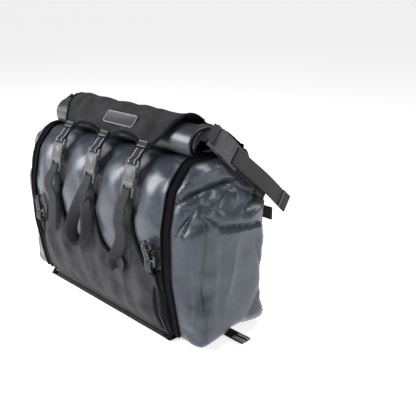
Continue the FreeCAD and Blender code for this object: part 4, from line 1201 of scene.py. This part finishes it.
grid = np.array(flap_grid)
edge_line = np.vstack([grid[34:, 0], grid[-1, 1:-1], grid[34:, -1][::-1]])
row_facing = np.gradient(grid, axis=0)
column_facing = np.gradient(grid, axis=1)
grid_facing = unit(np.cross(column_facing, row_facing))
edge_facing = np.vstack([grid_facing[34:, 0], grid_facing[-1, 1:-1], grid_facing[34:, -1][::-1]])
edge_line = edge_line + edge_facing * 0.0010
edge_along = unit(np.gradient(edge_line, axis=0))
strip("flap_binding", edge_line, np.cross(edge_along, edge_facing), 0.009, 0.0042,
      "flap", black_tape_with_painted_shade)
for u in (-0.62, 0.60, 0.84):
    column = int((u + 1) / 2 * (flap_columns - 1))
    dart_line = grid[48:66, column] + grid_facing[48:66, column] * 0.0024
    dart_line[:, 0] += np.linspace(0.006, -0.006, 18) * (1 if u > 0 else -1)
    strip(f"flap_dart_{column}", dart_line, (1, 0, 0), 0.0030, 0.0014, "flap", black_tape_with_painted_shade)

badge_material = plastic_material("Blank badge field", (0.022, 0.022, 0.025, 1), (0.05, 0.05, 0.055, 1))
badge_rim = plastic_material("Badge rim", (0.30, 0.30, 0.31, 1), (0.20, 0.20, 0.21, 1))
badge_low, badge_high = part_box("flap_badge")
badge_run = flap_length - 0.0423
middle, facing = on_flap(badge_run, 0.0068)
down_way = Vector((0, facing[1], -facing[0]))
out_way = Vector((0, facing[0], facing[1]))
badge_frame = Matrix.Translation(((badge_low.x + badge_high.x) / 2, middle[0], middle[1])) @ Matrix((
    (1, 0, 0, 0),
    (0, -down_way.y, out_way.y, 0),
    (0, -down_way.z, out_way.z, 0),
    (0, 0, 0, 1),
))
badge_levels = []
badge_steps = (
    (0, -0.0025), (0, 0.0004), (0.0005, 0.0010), (0.0014, 0.0010), (0.0018, 0.0004), (0.0022, 0.0003))
for inset, height in badge_steps:
    badge_levels.append((rounded_outline(0.046 - inset, 0.013 - inset, 0.006 - inset), height))
badge = stacked("flap_badge_blank", badge_levels, badge_frame, "flap",
                [badge_material, badge_rim], [0, 1, 1, 1, 0, 0])
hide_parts("flap_badge")


# ---------------------------------------------------------------- hanging straps and female buckles
# From each point of the flap hangs a short strap, bar-tacked to it and sewn with two bright tracer rows
# round the top bar of a side-release buckle.
tracer_web = webbing_material(
    "Tracer webbing", 0.0125, (0.012, 0.012, 0.014, 1), (0.05, 0.05, 0.055, 1),
    [(0.0080, 0.0046, 0.0009)], (0.56, 0.57, 0.6, 1))
tack_thread = webbing_material(
    "Bar tack thread", 0.0125, (0.15, 0.16, 0.18, 1), (0.3, 0.32, 0.34, 1))

for k, x_place in zip((1, 2, 3), strap_lines):
    body = f"hanger_{k}"
    softened(f"front_female_{k}", body, acetal, 0.0007)
    face_details(f"front_female_plate_{k}", buckle_frame(x_place), 0.0110, 0.0045, 0.0245, body)
    hang = smooth_line([
        (x_place, -0.0772, 0.3500),
        (x_place, -0.0830, 0.3455),
        buckle_point(0.0046, 0.0400, x_place),
        buckle_point(0.0040, 0.0350, x_place),
        buckle_point(0.0000, 0.0322, x_place),
        buckle_point(-0.0042, 0.0345, x_place),
        buckle_point(-0.0044, 0.0390, x_place),
        (x_place, -0.0922, 0.3392),
        (x_place, -0.0850, 0.3468),
        (x_place, -0.0792, 0.3517),
    ], 0.0015)
    strap = strip(f"hanger_web_{k}", hang, (1, 0, 0), 0.0246, 0.0018, body, tracer_web)
    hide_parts(f"hanger_strap_{k}")

    middle, facing = on_flap(flap_length - 0.006, 0.0034)
    down_part = np.array((-facing[1], facing[0]))
    if down_part[1] > 0:
        down_part = -down_part
    keeper_line = [(x_place, *(middle + down_part * step)) for step in np.linspace(-0.007, 0.006, 8)]
    keeper = strip(f"strap_keeper_web_{k}", keeper_line, (1, 0, 0), 0.0256, 0.0022,
                   "flap", grey_web)
    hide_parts(f"strap_keeper_{k}")
    for row, step in enumerate((-0.0050, 0.0045)):
        place = middle + facing * 0.0016 + down_part * step
        tack_line = [(x_place + across, place[0], place[1]) for across in np.linspace(-0.0115, 0.0115, 24)]
        strip(f"bar_tack_{k}_{row}", tack_line, (0, down_part[0], down_part[1]), 0.0022, 0.0012,
              "flap", tack_thread)


# ---------------------------------------------------------------- corner locks
# Each lock is a flat moulded ladder lock on the narrow tie. A patterned tape is threaded through its upper
# bar, bunches above it, and leaves a short tail below.
pattern_tape = webbing_material(
    "Patterned tape", 0.009, (0.006, 0.006, 0.007, 1), (0.03, 0.03, 0.032, 1),
    [(0.0062, 0.0050, 0.0006), (0.0028, 0.0050, 0.0006)], (0.22, 0.22, 0.23, 1))
for side, sign in SIDES.items():
    softened(f"strap_lock_{side}", "bag", acetal, 0.0008)
    low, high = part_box(f"strap_lock_{side}")
    lock_x, lock_y, lock_z = (low + high) / 2
    bunch_x = lock_x + sign * 0.020
    bunch = smooth_line([
        (bunch_x, front_at(bunch_x, lock_z + 0.026)[0][1] - 0.0035, lock_z + 0.026),
        (lock_x + sign * 0.008, lock_y - 0.001, lock_z + 0.022),
        (lock_x, lock_y + 0.0005, lock_z + 0.010),
        (lock_x, lock_y - 0.0048, lock_z + 0.003),
        (lock_x - sign * 0.002, lock_y - 0.0072, lock_z + 0.014),
        (lock_x - sign * 0.004, lock_y - 0.0090, lock_z + 0.027),
        (lock_x + sign * 0.001, lock_y - 0.0072, lock_z + 0.033),
        (lock_x + sign * 0.010, lock_y - 0.0060, lock_z + 0.024),
    ], 0.002)
    strip(f"lock_tape_{side}", bunch, (1, 0, 0.1), 0.018, 0.0018, "bag", pattern_tape)
    low_loop = smooth_line([
        (lock_x, lock_y + 0.0005, lock_z - 0.013),
        (lock_x, lock_y - 0.0005, lock_z - 0.006),
        (lock_x, lock_y - 0.0046, lock_z - 0.0035),
        (lock_x + sign * 0.001, lock_y - 0.0060, lock_z - 0.012),
        (lock_x + sign * 0.003, lock_y - 0.0040, lock_z - 0.022),
    ], 0.002)
    strip(f"lock_tail_{side}", low_loop, (1, 0, 0), 0.018, 0.0018, "bag", pattern_tape)


# ---------------------------------------------------------------- roll-end straps
# Each end of the roll carries a wide buckle on a loop. Its strap runs down the end to the back corner,
# under a sewn sleeve, and the loose end is folded over and stitched.
for side, sign in SIDES.items():
    where = end_axes(sign)
    across_end = where.to_3x3() @ Vector((1, 0, 0))
    face_of_end = where @ Matrix(((1, 0, 0, 0), (0, 0, -1, 0), (0, 1, 0, 0), (0, 0, 0, 1)))
    softened(f"end_female_{side}", "bag", acetal, 0.0008)
    softened(f"end_male_{side}", f"clip_{side}", acetal, 0.0008)
    press_pads(f"end_male_{side}", face_of_end, 0.0237, 0.0145, f"clip_{side}")
    face_details(f"end_female_plate_{side}", face_of_end, 0.0165, 0.0050, 0.0290, "bag")

    def placed(rows):
        """Places across, off and along the strap, as places in the bag's frame."""
        return [tuple(where @ Vector((x_part, off, along))) for x_part, off, along in rows]

    main = smooth_line(placed([
        (0, 0.0050, -0.110), (0, 0.0049, -0.094), (0, 0.0047, -0.060), (0, 0.0047, -0.022),
        (0, 0.0035, -0.0145), (0, 0.0, -0.0128), (0, -0.0035, -0.0140), (0, -0.0048, -0.022),
        (0, -0.0060, -0.045), (0.001, -0.0085, -0.080), (0.002, -0.0080, -0.110),
        (0.003, -0.0058, -0.137), (0.003, -0.0055, -0.154), (0.003, -0.0070, -0.1555),
        (0.003, -0.0080, -0.153), (0.003, -0.0075, -0.136),
    ]), 0.003)
    strap = strip(f"end_strap_web_{side}", main, tuple(across_end), 0.0375, 0.0018,
                  f"clip_{side}", wide_web)
    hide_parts(f"end_strap_{side}")
    hem_tack = placed([(x_part, -0.0092, -0.1385) for x_part in np.linspace(-0.016, 0.021, 24)])
    along_end = where.to_3x3() @ Vector((0, 0, 1))
    strip(f"end_hem_tack_{side}", hem_tack, tuple(along_end), 0.0024, 0.0014,
          f"clip_{side}", tack_thread)

    in_roll = [(sign * (roll_half_x - 0.010), -0.018, 0.384), (sign * (roll_half_x - 0.001), -0.014, 0.386)]
    loop = smooth_line(in_roll + placed([
        (0, 0.0060, 0.0500), (0, 0.0044, 0.0440), (0, 0.0036, 0.0400), (0, 0.0, 0.0385), (0, -0.0040, 0.0405),
        (0, -0.0052, 0.0460), (0, -0.0040, 0.0540),
    ]), 0.002)
    ring_web = strip(f"end_loop_web_{side}", loop, tuple(across_end), 0.0375, 0.0018,
                     "bag", wide_web)
    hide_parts(f"end_loop_{side}")


# ---------------------------------------------------------------- sewn tabs, sleeves, label and loops
# Small pieces of tape are sewn on the back and ends: sleeves for the end straps, tabs for the rings, a
# hanging tab, a blank woven label, and striped tie-down loops under the two ends.
def flat_tape_material(name, half_width, colour, worn, across_axis, along_axis):
    """Webbing on a drawn part, read from the part's own place instead of a strip's UV map."""
    material, tree, shader = new_material(
        name, Sheen_Weight=0.04, Sheen_Roughness=0.5, Specular_IOR_Level=0.25)
    parts = add(tree, "SeparateXYZ", {"Vector": add(tree, "TexCoord").outputs["Object"]})
    use_group(tree, shader, webbing, {
        "Across": parts.outputs[across_axis], "Along": parts.outputs[along_axis],
        "Half width": half_width, "Colour": colour, "Worn colour": worn,
    }, 0.0005, 0.8)
    return material


tab_web = flat_tape_material("Tab webbing", 1.0, (0.03, 0.03, 0.034, 1), (0.1, 0.1, 0.11, 1), "X", "Z")
side_web = flat_tape_material(
    "Corner tab webbing", 1.0, (0.02, 0.02, 0.024, 1), (0.07, 0.07, 0.078, 1), "Z", "X")
stripe_tape = webbing_material(
    "Striped loop tape", 0.012, (0.008, 0.008, 0.009, 1), (0.03, 0.03, 0.032, 1),
    [(0.0095, 0.2, 0.0009), (0.0045, 0.2, 0.0011)], (0.66, 0.66, 0.68, 1))

for side, sign in SIDES.items():
    softened(f"strap_guide_{side}", "bag", tab_web, 0.0004)
    softened(f"ring_tab_{side}", "bag", tab_web, 0.0004)
    softened(f"corner_tab_{side}", "bag", side_web, 0.0004)
    low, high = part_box(f"bottom_loop_{side}")
    inner_x = low.x if sign > 0 else high.x
    outer_x = high.x if sign > 0 else low.x
    loop_line = smooth_line([
        (inner_x, 0.0, 0.0052),
        (outer_x - sign * 0.026, 0.0, 0.0050),
        (outer_x - sign * 0.008, 0.0, 0.0058),
        (outer_x - sign * 0.0012, 0.0, 0.0045),
        (outer_x - sign * 0.004, 0.0, 0.0026),
        (outer_x - sign * 0.020, 0.0, 0.0022),
        (inner_x, 0.0, 0.0024),
    ], 0.0015)
    loop = strip(f"bottom_loop_web_{side}", loop_line, (0, 1, 0), 0.024, 0.0018,
                 "bag", stripe_tape)
    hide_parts(f"bottom_loop_{side}")
softened("hang_tab", "bag", tab_web, 0.0006)

label_cloth, tree, shader = new_material("Blank woven label", Roughness=0.7)
place = add(tree, "TexCoord").outputs["Object"]
parts = add(tree, "SeparateXYZ", {"Vector": place})
satin = math_node(tree, "SINE", math_node(tree, "MULTIPLY", parts.outputs["Z"], 2 * math.pi / 0.0007))
soil = add(tree, "TexNoise", {"Vector": place, "Scale": 60.0, "Detail": 6.0})
shown = mix_colour(tree, soil.outputs["Fac"], (0.62, 0.62, 0.61, 1), (0.48, 0.48, 0.47, 1))
bump = add(tree, "Bump", {"Height": satin, "Distance": 0.0003, "Strength": 0.5})
tree.links.new(shown, shader.inputs["Base Color"])
tree.links.new(bump.outputs["Normal"], shader.inputs["Normal"])
softened("back_label", "bag", label_cloth, 0.0004)


# ---------------------------------------------------------------- corner seams
# The four upright corners of the end walls are welded, and a narrow raised tape of the same vinyl covers
# each weld from the foot to where the end slopes in.
seam_vinyl = vinyl_material("Welded seam", (0.014, 0.017, 0.023, 1), (0.03, 0.034, 0.044, 1))
for side, sign in SIDES.items():
    for face, y_place in (("front", -0.079), ("back", 0.080)):
        seam_line = []
        for height in np.linspace(0.024, 0.252, 50):
            place, facing = touch((sign * 0.5, y_place, height), (-sign, 0, 0))
            seam_line.append(np.array(place) + np.array(facing) * 0.0004)
        weld = strip(f"corner_seam_weld_{side}_{face}", eased(np.array(seam_line), 12), (0, 1, 0),
                     0.0055, 0.0024, "bag", seam_vinyl)
        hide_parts(f"corner_seam_{side}_{face}")


# ---------------------------------------------------------------- rings and stiffeners
# The rings are bent from wire and coated black. The boards and the roll's strip are cut from black plastic
# sheet and are mostly hidden. Their drawn shapes are right, so they only take their finish here.
coated_wire = plastic_material("Black coated wire", (0.012, 0.012, 0.014, 1), (0.08, 0.08, 0.085, 1))
board_sheet = plastic_material("Black sheet", (0.015, 0.015, 0.017, 1), (0.04, 0.04, 0.044, 1))
finishes = {
    "d_ring_left": coated_wire, "d_ring_right": coated_wire,
    "base_board": board_sheet, "back_board": board_sheet, "roll_stiffener": board_sheet,
}
for node, finish in finishes.items():
    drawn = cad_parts[node].data
    drawn.materials.clear()
    drawn.materials.append(finish)
    if finish is coated_wire:
        drawn.shade_smooth()
